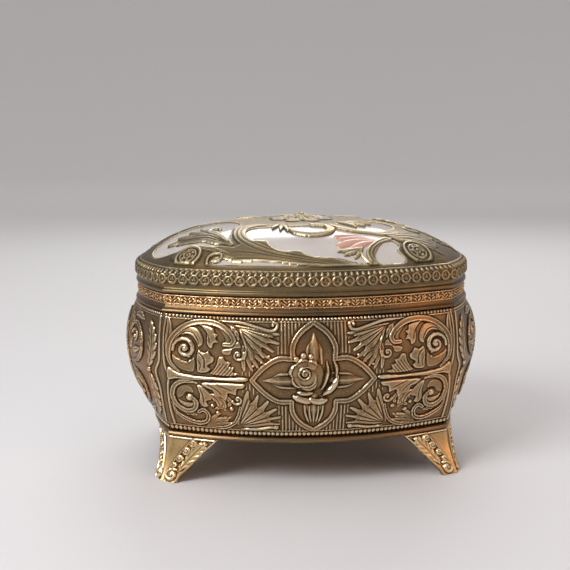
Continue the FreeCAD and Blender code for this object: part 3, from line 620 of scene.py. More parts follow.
class Shader:
    """Small helper round a node tree with a Principled surface."""

    def __init__(self, name):
        self.mat = bpy.data.materials.new(name)
        self.mat.use_nodes = True
        self.tree = self.mat.node_tree
        self.bsdf = self.tree.nodes["Principled BSDF"]

    def add(self, kind, **inputs):
        node = self.tree.nodes.new(kind)
        for key, value in inputs.items():
            node.inputs[key.replace("_", " ")].default_value = value
        return node

    def link(self, a, b):
        self.tree.links.new(a, b)

    def place(self):
        return self.add("ShaderNodeTexCoord").outputs["Object"]

    def noise(self, per_mm, detail=4.0, rough=0.55, distortion=0.0):
        node = self.add("ShaderNodeTexNoise", Scale=per_mm * 1000.0, Detail=detail,
                        Roughness=rough, Distortion=distortion)
        self.link(self.place(), node.inputs["Vector"])
        return node.outputs["Fac"]

    def math(self, op, a, b=None, c=None, clamp=False):
        node = self.tree.nodes.new("ShaderNodeMath")
        node.operation = op
        node.use_clamp = clamp
        for socket, value in zip(node.inputs, (a, b, c)):
            if value is None:
                continue
            if isinstance(value, (int, float)):
                socket.default_value = value
            else:
                self.link(value, socket)
        return node.outputs[0]

    def ramp(self, fac, *stops):
        node = self.tree.nodes.new("ShaderNodeValToRGB")
        points = node.color_ramp.elements
        while len(points) < len(stops):
            points.new(0.5)
        for point, (at, colour) in zip(points, stops):
            point.position = at
            point.color = colour if hasattr(colour, "__len__") else (colour,) * 3 + (1,)
        self.link(fac, node.inputs["Fac"])
        return node.outputs["Color"]

    def mix(self, fac, a, b, blend="MIX"):
        node = self.tree.nodes.new("ShaderNodeMix")
        node.data_type = "RGBA"
        node.blend_type = blend
        for socket, value in ((node.inputs[0], fac), (node.inputs[6], a), (node.inputs[7], b)):
            if isinstance(value, (int, float, tuple)):
                socket.default_value = value
            else:
                self.link(value, socket)
        return node.outputs[2]

    def attribute(self, name):
        node = self.tree.nodes.new("ShaderNodeAttribute")
        node.attribute_name = name
        return node.outputs["Fac"]

    def bump(self, height, strength, distance_mm):
        node = self.add("ShaderNodeBump", Strength=strength, Distance=distance_mm * MM)
        self.link(height, node.inputs["Height"])
        self.link(node.outputs["Normal"], self.bsdf.inputs["Normal"])


def cast_metal(name, deep, low, mid, high, tint=None, rough=(0.30, 0.62), patina=1.0):
    """Plated casting: dark in the hollows, rubbed bright on what stands out."""
    s = Shader(name)
    s.bsdf.inputs["Metallic"].default_value = 1.0
    cavity = s.attribute("cavity")
    cloud = s.noise(0.09, 5)
    grain = s.noise(1.6, 4, 0.6)
    fac = s.math("MULTIPLY_ADD", cavity, 0.36 * patina, 0.5)
    fac = s.math("MULTIPLY_ADD", s.math("SUBTRACT", cloud, 0.5), 0.34, fac)
    fac = s.math("MULTIPLY_ADD", s.math("SUBTRACT", grain, 0.5), 0.16, fac, clamp=True)
    colour = s.ramp(fac, (0.22, deep), (0.43, low), (0.60, mid), (0.86, high))
    if tint is not None:
        colour = s.mix(s.math("MULTIPLY", s.ramp(cloud, (0.42, 0.0), (0.68, 1.0)), 0.55),
                       colour, s.mix(1.0, colour, tint, "MULTIPLY"))
    s.link(colour, s.bsdf.inputs["Base Color"])
    scuffs = s.noise(0.5, 6, 0.7, 1.5)
    level = s.math("MULTIPLY_ADD", fac, rough[0] - rough[1], rough[1])
    level = s.math("MULTIPLY_ADD", s.math("SUBTRACT", scuffs, 0.5), 0.22, level, clamp=True)
    s.link(level, s.bsdf.inputs["Roughness"])
    pits = s.noise(5.0, 3, 0.6)
    s.bump(s.math("MULTIPLY_ADD", pits, 0.5, s.math("MULTIPLY", grain, 0.7)), 0.22, 0.05)
    return s.mat


def enamel(name, light, shade):
    s = Shader(name)
    cloud = s.noise(0.06, 3)
    speck = s.noise(1.1, 5, 0.7)
    colour = s.mix(s.ramp(cloud, (0.35, 0.0), (0.7, 1.0)), light, shade)
    # painted shade: the colour is pulled halfway towards a dull brown where the edge attribute is
    # high, at the metal walls of the cells and in the low hollows between the pink lobes
    painted_edge_shade = s.ramp(s.attribute("edge"), (0.0, 0.0), (1.0, 1.0))
    colour = s.mix(s.math("MULTIPLY", painted_edge_shade, 0.5), colour, rgb(176, 160, 140))
    s.link(colour, s.bsdf.inputs["Base Color"])
    s.link(s.math("MULTIPLY_ADD", speck, 0.16, 0.12), s.bsdf.inputs["Roughness"])
    s.bsdf.inputs["Coat Weight"].default_value = 0.4
    s.bsdf.inputs["Coat Roughness"].default_value = 0.06
    s.bump(s.math("MULTIPLY_ADD", speck, 0.25, cloud), 0.15, 0.15)
    return s.mat


def plush(name, dark, light):
    s = Shader(name)
    pile = s.noise(2.6, 5, 0.75)
    crush = s.noise(0.12, 4, 0.6, 0.6)
    fac = s.math("MULTIPLY_ADD", pile, 0.5, s.math("MULTIPLY", crush, 0.5))
    s.link(s.ramp(fac, (0.3, dark), (0.68, light)), s.bsdf.inputs["Base Color"])
    s.link(s.math("MULTIPLY_ADD", crush, 0.2, 0.72), s.bsdf.inputs["Roughness"])
    s.bsdf.inputs["Sheen Weight"].default_value = 0.6
    s.bsdf.inputs["Sheen Roughness"].default_value = 0.35
    s.bsdf.inputs["Sheen Tint"].default_value = rgb(255, 170, 160)
    s.bump(s.math("MULTIPLY_ADD", crush, 1.4, pile), 0.6, 0.3)
    return s.mat


def board(name):
    s = Shader(name)
    fibre = s.noise(1.2, 6, 0.7)
    s.link(s.ramp(fibre, (0.3, rgb(150, 132, 104)), (0.7, rgb(186, 168, 138))),
           s.bsdf.inputs["Base Color"])
    s.bsdf.inputs["Roughness"].default_value = 0.9
    s.bump(fibre, 0.4, 0.1)
    return s.mat


ANTIQUE = cast_metal("antique_cast", rgb(58, 42, 27), rgb(118, 96, 68), rgb(158, 136, 102),
                     rgb(216, 200, 168), tint=rgb(255, 205, 160), rough=(0.22, 0.48),
                     patina=1.35)
PEWTER = cast_metal("antique_lid", rgb(60, 50, 34), rgb(108, 94, 68), rgb(142, 127, 97),
                    rgb(206, 194, 164), tint=rgb(255, 222, 182), rough=(0.26, 0.5))
COVE = cast_metal("antique_cove", rgb(58, 44, 28), rgb(104, 84, 58), rgb(134, 112, 82),
                  rgb(206, 184, 146), tint=rgb(255, 200, 150), rough=(0.26, 0.5))
FRIEZE = cast_metal("gilt_frieze", rgb(56, 34, 16), rgb(130, 88, 50), rgb(184, 140, 92),
                    rgb(240, 212, 166), rough=(0.26, 0.5), patina=1.3)
GILT = cast_metal("gilt_foot", rgb(92, 68, 38), rgb(168, 138, 92), rgb(214, 186, 138),
                  rgb(250, 232, 196), rough=(0.22, 0.42))
BRASS = cast_metal("hinge_brass", rgb(70, 50, 26), rgb(128, 98, 56), rgb(170, 136, 84),
                   rgb(214, 184, 130), rough=(0.3, 0.55))
STEEL = cast_metal("hinge_steel", rgb(60, 56, 52), rgb(110, 106, 100), rgb(140, 136, 130),
                   rgb(200, 196, 190), rough=(0.3, 0.5))
WHITE = enamel("enamel_white", rgb(188, 181, 173), rgb(178, 167, 157))
PINK = enamel("enamel_pink", rgb(196, 150, 128), rgb(182, 132, 110))
PLUSH = plush("plush", rgb(70, 8, 14), rgb(132, 22, 30))
CARD = board("lining_card")


# ---------------------------------------------------------------------------------------
# Meshes
# ---------------------------------------------------------------------------------------


def grid_object(name, points, body, material, slot, keep=None, wrap=False, **values):
    """Quad grid from an (n, m, 3) array of points in mm; values become vertex attributes."""
    n, m = points.shape[:2]
    index = np.arange(n * m).reshape(n, m)
    if wrap:
        index = np.vstack([index, index[:1]])
    quads = np.stack([index[:-1, :-1], index[1:, :-1], index[1:, 1:], index[:-1, 1:]], -1)
    quads = quads.reshape(-1, 4)
    if keep is not None:
        quads = quads[keep.reshape(-1)]
    return mesh_object(name, points.reshape(-1, 3), quads, body, material, slot,
                       **{k: v.reshape(-1) for k, v in values.items()})


def mesh_object(name, points, quads, body, material, slot, **values):
    mesh = bpy.data.meshes.new(name)
    mesh.vertices.add(len(points))
    mesh.vertices.foreach_set("co", (points * MM).astype(np.float32).ravel())
    mesh.loops.add(quads.size)
    mesh.loops.foreach_set("vertex_index", quads.astype(np.int32).ravel())
    mesh.polygons.add(len(quads))
    mesh.polygons.foreach_set("loop_start", np.arange(0, quads.size, 4, dtype=np.int32))
    mesh.polygons.foreach_set("use_smooth", np.ones(len(quads), bool))
    for key, value in values.items():
        mesh.attributes.new(key, "FLOAT", "POINT").data.foreach_set(
            "value", value.astype(np.float32).ravel())
    mesh.update(calc_edges=True)
    mesh.validate()
    obj = bpy.data.objects.new(name, mesh)
    bpy.context.scene.collection.objects.link(obj)
    mesh.materials.append(material)
    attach(obj, body)
    return obj


def normals(p):
    a, b = np.gradient(p, axis=0), np.gradient(p, axis=1)
    n = np.cross(a, b)
    return n / np.maximum(np.linalg.norm(n, axis=-1, keepdims=True), 1e-12)


def cavity_of(h, cell, reach=0.8, level=0.45):
    """-1 deep in a hollow, +1 on a crest, from the heights and their local mean."""
    local = h - blur(h, max(1, int(reach / cell)))
    fine = h - blur(h, max(1, int(0.3 / cell)))
    return np.clip(local / 1.1 + fine / 0.17 + (h - level) * 0.2, -1, 1)


SIDES = ("front", "right", "back", "left")


def wall_grid(section_of, side, u, z):
    uu, zz = np.meshgrid(u, z, indexing="ij")
    x, y = swell(uu, section_of(zz), side)
    return np.stack([x, y, zz + 0 * x], -1)


def mitred(section_of, side, u, z):
    """Base points of one side and directions that meet the neighbours' at the corners."""
    base = wall_grid(section_of, side, u, z)
    n = normals(base)
    k = SIDES.index(side)
    for edge, other in ((0, SIDES[k - 1]), (-1, SIDES[(k + 1) % 4])):
        theirs = normals(wall_grid(section_of, other, u, z))[-1 if edge == 0 else 0]
        ours = n[edge]
        shared = (ours + theirs) / (1 + (ours * theirs).sum(-1, keepdims=True))
        weight = smooth((np.abs(u) - 0.955) / 0.045) * ((u < 0) if edge == 0 else (u > 0))
        n = n + (shared[None] - n) * weight[:, None, None]
    return base, n


def even_u(half, bow, n):
    """u values evenly spaced along the curve of a side."""
    t = np.linspace(-1, 1, 801)
    s = np.concatenate([[0], np.cumsum(np.hypot(np.diff(t * half), np.diff(bow * t ** 2)))])
    return np.interp(np.linspace(0, s[-1], n), s, t), s[-1]


PANEL_SINK = 0.38            # how far the relief's zero level lies inside the casting's envelope
CORE_OUT, CORE_IN = 0.8, 1.8     # depths of the plain metal behind the relief
PANEL_RELIEF = 0.8           # share of the drawn height that the panels stand up


def build_panel(side, ornament, cell=0.21):
    """Ornamented outer skin of a side casting, and the plain metal behind it."""
    long_side = side in ("front", "back")
    half, bow = (CORNER_X, FRONT_BOW) if long_side else (CORNER_Y, SIDE_BOW)
    u = even_u(half, bow, int(2 * half * 1.06 / cell))[0]
    z = np.linspace(WALL_Z, NECK_Z, int((NECK_Z - WALL_Z) / cell))
    base, n = mitred(wall_section, side, u, z)
    uu, zz = np.meshgrid(u, z, indexing="ij")
    h = ornament(uu * (CORNER_X if long_side else CORNER_Y), zz)
    edge = smooth((np.abs(uu) - 0.982) / 0.014)
    h = h + (0.35 - h) * edge
    cavity = cavity_of(h, cell)
    h = h * PANEL_RELIEF - PANEL_SINK
    h[:, :1] = h[:, -1:] = -0.9
    skin = grid_object(side + "_relief", base + n * h[..., None], "box", ANTIQUE, "antique_cast",
                       cavity=cavity)

    u = np.linspace(-1, 1, 41)
    z = np.linspace(WALL_Z, NECK_Z, 22)
    uu, zz = np.meshgrid(u, z, indexing="ij")

    def shifted(inset):
        a, b, front, end = wall_section(zz)
        x, y = swell(uu, (a - inset, b - inset, front, end), side)
        return np.stack([x, y, zz], -1)
    outer, inner = shifted(CORE_OUT), shifted(CORE_IN)
    ring = np.concatenate([outer, inner[:, ::-1], outer[:, :1]], axis=1)
    grid_object(side + "_core", ring, "box", ANTIQUE, "antique_cast")
    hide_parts(side + "_panel")


def neck_band(name, side, insets, z, height, body, material, slot, cell, cut=None):
    """Moulded strip round one side of the neck, collar or lid."""
    long_side = side in ("front", "back")
    half, bow = (NECK_X, NECK_FRONT) if long_side else (NECK_Y, NECK_SIDE)
    u, length = even_u(half, bow, int(2 * half * 1.05 / cell))

    def section(zz):
        return neck_section(np.interp(zz, z, insets))

    base, n = mitred(section, side, u, z)
    s = np.linspace(-length / 2, length / 2, len(u))
    ss, zz = np.meshgrid(s, z, indexing="ij")
    h = height(ss, zz, length)
    cavity = cavity_of(h, cell, 0.6, 0.2)
    points = base + n * (h + GROUND)[..., None]
    keep = None
    if cut is not None and side == "back":
        mid = (points[:-1, :-1] + points[1:, 1:]) / 2
        keep = ~((np.abs(mid[..., 0]) < cut[0]) & (mid[..., 2] < cut[1]))
    return grid_object(name, points, body, material, slot, keep=keep, cavity=cavity)


# ---------------------------------------------------------------------------------------
# Body: panels, bead and fillet work, frieze
# ---------------------------------------------------------------------------------------

for side in SIDES:
    build_panel(side, long_panel if side in ("front", "back") else end_panel)


FRIEZE_PITCH = 5.0           # from rosette to rosette, before fitting to the side


def frieze_height(s, z, length):
    """Dense gilt foliage: rosettes and leaf sprays on a coarse stippled ground."""
    pitch = length / round(length / FRIEZE_PITCH)
    k = ((s / pitch) + 0.5) % 1 - 0.5
    x = k * pitch
    y = z - (COLLAR_Z + 1.45)
    petals = np.hypot(x, y)
    angle = np.arctan2(y, x)
    flower = 0.42 * np.clip(1 - petals / (1.05 + 0.25 * np.cos(5 * angle)), 0, 1) ** 0.5
    flower = np.maximum(flower, 0.55 * arch(petals / 0.4))
    far = np.abs(np.abs(x) - pitch * 0.37)
    spray = 0.4 * np.clip(1 - far / 0.75, 0, 1) * (0.5 + 0.5 * np.cos(6.5 * (y + 0.8 * np.abs(x))))
    rough = 0.3 * (np.clip(cell_noise(s, z, 0.62, 17), 0, 0.8) - 0.3)
    edge = np.minimum(z - COLLAR_Z, COLLAR_TOP - z)
    lines = 0.3 * arch((edge - 0.22) / 0.18)
    return np.maximum(np.maximum(flower, spray) + rough, lines)


SEAT_HALF = box_mm("hinge_body_leaf")[1][0] + 0.35
SEAT_TOP = box_mm("hinge_lid_leaf")[1][2] + 0.25
for side in SIDES:
    z = np.linspace(COLLAR_Z + 0.02, COLLAR_TOP - 0.03, 18)
    neck_band(side + "_frieze", side, 0.6 + 0 * z, z, frieze_height, "box", FRIEZE,
              "gilt_frieze", 0.17, cut=(SEAT_HALF, 99.0))


# ---------------------------------------------------------------------------------------
# Lid: moulded rim with rings and leaf tips, domed crown with enamel fields
# ---------------------------------------------------------------------------------------

# height over the lid's edge, inset from the line of the neck
RIM = [(0.0, 0.0), (0.2, -0.35), (0.5, -0.5), (0.95, -0.42), (1.15, -0.05), (1.4, 0.1),
       (1.9, 0.16), (2.5, -0.02), (2.8, -0.2), (2.95, -0.4), (3.15, -0.62), (3.4, -0.62),
       (5.5, -0.52), (5.9, -0.4), (6.2, 0.0), (6.6, 0.35), (7.1, 0.95), (RIM_HEIGHT, 1.3)]


RING_PITCH = 3.45            # from ring to ring, before fitting to the side


def rim_height(s, z, length):
    """Chain of small rings with a turned bud in each, and a row of teeth above them."""
    pitch = length / round(length / RING_PITCH)
    x = ((s / pitch + 0.5) % 1 - 0.5) * pitch
    y = z - (LID_Z + 4.3)
    d = np.hypot(x, y)
    ring = 0.38 * arch((d - 1.2) / 0.36)
    angle = np.arctan2(y, x)
    bud = 0.34 * np.clip(1 - d / 0.84, 0, 1) ** 0.4 * (0.62 + 0.38 * np.cos(3 * angle + 4 * d))
    link = 0.34 * arch(np.abs(np.abs(x) - pitch / 2) / 0.3) * (np.abs(y) < 0.3)
    tip_pitch = pitch / 2
    tx = ((s / tip_pitch) % 1 - 0.5) * tip_pitch
    ty = z - (LID_Z + 6.15)
    tip = 0.42 * np.sqrt(np.clip(1 - (tx / 0.5) ** 2 - (ty / 0.62) ** 2, 0, 1))
    line = 0.26 * arch((z - LID_Z - 6.95) / 0.2)
    grain = 0.06 * (cell_noise(s, z, 0.45, 21) - 0.5)
    low = z < LID_Z + 2.9
    carved = np.maximum.reduce([ring, bud, link, tip, line])
    return np.where(low, grain * 0.3, carved - 0.12 + grain)


rim_z = LID_Z + np.concatenate([np.linspace(0, 2.8, 22), np.linspace(2.92, RIM_HEIGHT, 30)])
rim_in = 0.3 + np.interp(rim_z - LID_Z, *zip(*RIM))
for side in SIDES:
    neck_band(side + "_rim", side, rim_in, rim_z, rim_height, "lid", PEWTER, "antique_cast",
              0.2, cut=(SEAT_HALF, SEAT_TOP))

CELLS = {
    "heart": [(-18, -21), (-15.5, -17.6), (-10, -17.2), (-4, -17), (2, -16.5), (8, -18.2),
              (12, -21.4), (19, -22.6), (22.5, -23.4), (20.5, -26.5), (17.5, -30.5),
              (17, -34.5), (18, -36.6), (12, -37), (6, -36.1), (0.5, -35.8), (-3.2, -33.9),
              (-8, -33.2), (-10.8, -31.2), (-12.4, -28.5), (-16.2, -26.6)],
    "fan": [(19.5, -31), (22, -27), (24.6, -25.6), (26.2, -27.2), (25.6, -30), (27.4, -32.6),
            (26.4, -34), (22.5, -35.4), (19.4, -36), (18.4, -34)],
    "ribbon": [(-26, -31.6), (-22.6, -33.6), (-16, -35.6), (-10, -37), (-4, -38.0), (1.5, -38.7),
               (-4, -38.8), (-10, -38.2), (-18, -36.6), (-25, -34.4), (-28.2, -32.8)],
    "crescent": [(-43.2, -19.5), (-38, -22.6), (-31.5, -24.8), (-27.2, -26.6), (-23.4, -25.2),
                 (-22.4, -20), (-21.2, -15), (-19.5, -10.5), (-21, -3.5), (-27, 2.5), (-34, 2),
                 (-41, -3), (-45.2, -9), (-45.2, -15)],
    "upper": [(9.8, -14.8), (12.5, -18.6), (17.5, -20.2), (23, -19.4), (26.3, -15), (27.2, -9.5),
              (24, -6), (18, -6), (13, -9)],
}
ENAMEL_DROP = 0.3            # enamel surface under the plain crown
FLOOR_DROP = 0.62            # floor of the cells under the plain crown
PLATE = 0.42                 # height of the flat plates that border the enamel


def bowed_grid(n, m, section):
    """Square grid wrapped over nested bowed outlines: x, y and the share of each outline."""
    half_x, half_y, front, end = section
    u = np.linspace(-1, 1, n)[:, None] + np.zeros((1, m))
    v = np.linspace(-1, 1, m)[None, :] + np.zeros((n, 1))
    fronts = np.abs(v) >= np.abs(u)
    r = np.maximum(np.maximum(np.abs(u), np.abs(v)), 1e-9)
    x = u * half_x + np.where(fronts, 0, np.sign(u) * r * end * (1 - (v / r) ** 2))
    y = v * half_y + np.where(fronts, np.sign(v) * r * front * (1 - (u / r) ** 2), 0)
    return x, y, r


def crown_grid(n, m):
    return bowed_grid(n, m, (DOME_X, DOME_Y, NECK_FRONT, NECK_SIDE))[:2]


def cell_depth(x, y):
    """Signed distance (positive inside) to the enamel cells, in mm, within 2 mm of an edge."""
    best = np.full(x.shape, -2.0)
    for turn in (1, -1):
        for pts in CELLS.values():
            outline = curve(np.array(pts, float) * turn, 8, closed=True)
            flat = Relief(x, y)
            where, _, d = flat.along(outline, 2.0)
            inside = in_polygon(x, y, outline)
            dist = np.where(inside, 2.0, -2.0)
            dist[where] = np.where(inside[where], 1, -1) * np.minimum(np.abs(d), 2.0)
            best = np.maximum(best, dist)
    return best


def lid_ornament(x, y):
    r = Relief(x, y)
    for t in (1, -1):
        def c(*pts, per=10, t=t):
            return curve(np.array(pts, float) * t, per)

        def p(*pts, t=t):
            return [(a * t, b * t) for a, b in pts]

        def fan(root, *tips, t=t):
            return (root[0] * t, root[1] * t), [(a * t, b * t, bend) for a, b, bend in tips]
        # stem from the rosette down to the rim, merging with a long serrated leaf
        r.plate(p((-13, -11.5), (-17.5, -12.6), (-20.6, -15.6), (-21.9, -19.6), (-21.7, -24),
                  (-19.6, -28.4), (-15.6, -31.6), (-12, -33), (-14.6, -29.2), (-17.2, -25.6),
                  (-18, -21.6), (-17.2, -18.4), (-14.4, -16.4), (-11, -15.8)),
                PLATE + 0.14, 0.4, 0.3)
        r.plate(p((-25.2, -30.4), (-22.0, -29.0), (-18.0, -27.0), (-16.0, -26.9), (-12.1, -28.2),
                  (-11.7, -29.2), (-11.0, -31.2), (-9.2, -33.0), (-6.8, -33.7), (-3.1, -33.7),
                  (-2.0, -34.9), (0.4, -36.0), (3, -36.5), (6, -36.1), (9, -37.1), (14, -37.6),
                  (18.4, -37.3), (12, -38.5), (4, -39.3), (-4, -38.5), (-10, -37.1), (-16, -35.8),
                  (-21.9, -34.7), (-22.4, -33.4), (-24.2, -32.2)), PLATE, 0.25, 0.1, per=3)
        for pts in (((-16.6, -13.2), (-19.6, -16.6), (-20.7, -21), (-20.2, -25.4), (-17.4, -29.6),
                     (-12.6, -33.4), (-6, -36), (2, -37.6), (9, -38.2)),
                    ((-15, -14.6), (-18.2, -17), (-19.4, -21), (-18.9, -25), (-16.2, -28.8),
                     (-11.6, -32.4), (-5.4, -35.2), (2, -37), (8, -37.8)),
                    ((-23.4, -30.6), (-18.6, -32), (-13, -34.2), (-7, -36.4), (0, -38), (6, -38.6)),
                    ((-23.2, -33.2), (-17, -34.6), (-11, -36.2), (-5, -37.6), (1, -38.6)),
                    ((-15.6, -28), (-12.8, -30.2), (-9.4, -33.6), (-4.6, -35.4))):
            r.groove(c(*pts), 0.17, 0.22)
        # arm over the left roundel, drawn out into a curl at the end of the ribbon
        r.plate(p((-39.6, -26.4), (-39.4, -24.2), (-37.0, -22.7), (-33.0, -23.4), (-28.4, -25.6),
                  (-23.6, -27.6), (-19.6, -30.4), (-22.4, -31.4), (-26.4, -29.6), (-30.4, -27.0),
                  (-34.4, -24.9), (-37.6, -24.7), (-38.4, -26.6)), PLATE + 0.1, 0.4, 0.3)
        r.groove(c((-37.6, -23.8), (-33.4, -24.2), (-28.8, -26.6), (-24.4, -28.8)), 0.16, 0.24)
        r.stroke(c((-30.9, -25.4), (-27.8, -27.2), (-25.2, -29.4), (-22.8, -31.4)), 0.42, 0.62,
                 taper=(0.2, 0.6))
        r.stroke(c((-28.6, -34.2), (-29.5, -32.6), (-29.0, -30.6), (-27.2, -29.8), (-25.5, -30.7),
                   (-25.4, -32.2), (-26.8, -32.8), (-27.8, -32.0)), 0.42, 0.72, taper=(0.8, 0.7))
        r.stroke(c((-29.2, -33.2), (-25.2, -34.9), (-18, -37.0), (-10, -38.6), (-3, -39.2)), 0.32,
                 0.5, taper=(0.8, 0.3))
        # frond of five fingers across the crescent
        r.frond(*fan((-22.6, -27.2), (-41.2, -13.8, -0.1), (-38.2, -10.6, -0.07),
                     (-34.8, -8.8, -0.04), (-31.4, -8.6, 0.0)), 1.75, 0.72)
        r.plate(p((-23.0, -27.0), (-26.4, -25.8), (-30.6, -22.4), (-35.4, -19.2), (-38.6, -16.6),
                  (-34.6, -15.6), (-30.4, -15.6), (-27.4, -18.4), (-24.6, -22.4), (-22.2, -25.0)),
                PLATE + 0.12, 0.4, 0.3)
        r.stroke(c((-23.6, -25.4), (-27.2, -19.6), (-28.9, -15.6), (-28.2, -12.6), (-26.3, -12.0),
                   (-25.3, -13.4)), 0.7, 0.68, taper=(1, 0.5))
        for pts in (((-24.0, -26.0), (-29.0, -21.4), (-34.4, -17.6), (-38.6, -14.6)),
                    ((-24.4, -25.0), (-28.8, -19.8), (-33.0, -14.8), (-35.4, -11.6)),
                    ((-24.6, -24.0), (-28.0, -18.6), (-30.6, -13.6), (-31.6, -10.4))):
            r.groove(c(*pts), 0.18, 0.25)
        # roundels, each with a turned rose
        for cx, cy, size in ((-34.9, -27.6, 3.5), (31.8, -28.2, 3.9)):
            x0, y0 = cx * t, cy * t
            r.bead(x0, y0, size + 0.9, 0.5)
            r.ring(x0, y0, size, 0.5, 0.85)
            r.ring(x0, y0, size * 0.66, 0.32, 0.75)
            r.stroke(spiral(x0, y0, size * 0.46, 0.2, 30, 1.6, 18), 0.36, 0.9, taper=(0.8, 0.9),
                     ease=0.8)
            for k in range(6):
                a = math.radians(60 * k + 20)
                r.bead(x0 + size * 0.46 * math.cos(a), y0 + size * 0.46 * math.sin(a), 0.7, 0.8)
        # leafy mass above the right roundel
        r.plate(p((23.0, -22.9), (25.2, -20.4), (28.6, -16.6), (31.4, -13.4), (32.6, -15.4),
                  (34.6, -13.8), (35.0, -16.4), (37.4, -16.0), (37.2, -18.6), (39.8, -19.6),
                  (38.6, -22.0), (40.6, -24.4), (37.8, -25.2), (35.0, -25.2), (31.6, -24.0),
                  (27.8, -25.4)), PLATE + 0.1, 0.3, 0.2, per=3)
        for pts in (((24.6, -22.6), (29.0, -19.4), (32.6, -15.8)),
                    ((25.4, -23.2), (31.0, -20.6), (35.6, -17.8)),
                    ((26.6, -23.8), (32.6, -22.2), (38.2, -20.8)),
                    ((30.0, -23.6), (35.0, -23.8), (39.0, -23.6))):
            r.groove(c(*pts), 0.2, 0.28)
        # stem between the heart and the fan, thin strap above them
        r.plate(p((24.8, -24.0), (22.4, -24.2), (20.0, -26.6), (17.0, -30.4), (15.9, -33.6),
                  (17.4, -37.0), (19.6, -37.0), (18.0, -34.0), (18.8, -31.0), (21.4, -27.6),
                  (24.6, -25.4)), PLATE + 0.08, 0.3, 0.2)
        r.groove(c((23.8, -24.8), (20.6, -27.4), (17.9, -31.0), (16.9, -34.0), (18.2, -36.8)), 0.16,
                 0.26)
        r.stroke(c((14.2, -33.4), (15.2, -35.2), (17.0, -37.0)), 0.45, 0.6, taper=(0.4, 1))
        r.stroke(c((7.6, -15.6), (9.6, -19.4), (13.6, -21.6), (18.6, -22.2), (23.6, -22.2),
                   (27.0, -20.6)), 0.62, 0.62, taper=(0.6, 1))
        for tx, ty in ((7.6, -33.8), (9.6, -35.0), (12.4, -35.8)):
            r.blade(c((15.0, -31.6), ((15 + tx) / 2, (ty - 31.6) / 2 - 0.4), (tx, ty)), 0.7, 0.75)
        # hooked scroll in front of the rosette, and the leaf tips that hang beside it
        r.stroke(c((-5.0, -19.4), (-3.6, -23.4), (0.8, -25.4), (5.2, -24.2), (7.2, -20.8),
                   (6.0, -17.2), (2.2, -16.2)), 1.35, 0.75, taper=(0.5, 0.7), ease=0.3)
        r.groove(c((-3.4, -22.6), (0.8, -24.8), (5.0, -23.6), (6.6, -20.6)), 0.2, 0.2)
        for tx, ty in ((-10.2, -19.6), (-7.8, -21.8), (-5.6, -22.6)):
            r.blade(c((-6.4, -11.4), ((tx - 6.6) / 2, (ty - 11.4) / 2), (tx, ty)), 1.0, 0.7)
        # low scroll with three leaves on the open metal at the end of the crown
        r.stroke(c((52.0, -11.4), (46.4, -9.8), (40.5, -7.4), (35.5, -6.2), (31.8, -7.6),
                   (31.2, -10.4), (33.6, -11.8), (35.4, -10.3), (34.0, -9.0)), 0.6, 0.55,
                 taper=(0.4, 0.8))
        for spine in (((47.4, -9.8), (45.9, -4.2), (47.4, 2.2)),
                      ((41.2, -7.4), (39.0, -5.0), (38.6, -2.6)),
                      ((45.0, -9.8), (42.0, -12.2), (38.4, -12.6))):
            r.leaf(p(*spine), 1.5, 0.5, lobes=4, depth=0.4)
        # sprigs over the upper cell
        r.frond(*fan((9.4, -9.6), (15.4, -17.4, 0.05), (18.4, -15.6, 0.03), (20.4, -12.4, 0.0)),
                0.9, 0.66)
    return r.h


x, y = crown_grid(340, 290)
depth = cell_depth(x, y)
ornament = lid_ornament(x, y)
matting = 0.12 * (cell_noise(x, y, 0.55, 31) - 0.45)
fillet = 0.17 * arch((depth + 0.42) / 0.4)
metal = np.maximum(0.1 + matting, fillet)
h = metal + (-FLOOR_DROP - metal) * smooth((depth + 0.02) / 0.22)
h = np.maximum(h, np.where(ornament > 0.06, ornament * 0.85 + 0.04 + matting * 0.35, -9))
share = dome_share(x, y)
h = np.where(share > 0.985, 0.05, h)
crown = np.stack([x, y, dome_height(x, y) + h], -1)
cell = 2 * DOME_X / 340
grid_object("crown_relief", crown, "lid", PEWTER, "antique_cast", cavity=cavity_of(h, cell, 0.9))

# enamel: a smooth skin a little below the metal, kept only in and just under its cells
ex, ey = crown_grid(230, 200)
edepth = cell_depth(ex, ey)
mid = (edepth[:-1, :-1] + edepth[1:, 1:]) / 2
meniscus = 0.16 * np.exp(-np.clip(edepth, 0, 2) / 0.35)
ez = dome_height(ex, ey) - ENAMEL_DROP + meniscus
# the edge attribute is the painted shade mask: 1 where the enamel meets the metal walls of its
# cells, fading within about a millimetre
white = grid_object("white_enamel", np.stack([ex, ey, ez], -1), "lid", WHITE, "enamel_white",
                    keep=mid > -0.5, edge=np.exp(-np.clip(edepth, 0, 2) / 0.3))
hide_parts("enamel_white")


def palmette(u, v):
    """Pink shell leaf: five ribbed lobes spreading from a pointed base at the origin."""
    r = Relief(u, v)
    for ang, size, w in ((178, 12.2, 1.45), (187, 11.2, 1.6), (200, 12.6, 1.9), (216, 10.6, 2.0)):
        a = math.radians(ang)
        bend = math.radians(ang - 9)
        pts = [(0, 0), (0.5 * size * math.cos(bend), 0.5 * size * math.sin(bend)),
               (size * math.cos(a), size * math.sin(a))]
        r.stroke(curve(pts, 10), w, 1.25, "round", taper=(0.12, 0.72), ease=0.75)
    return r.h


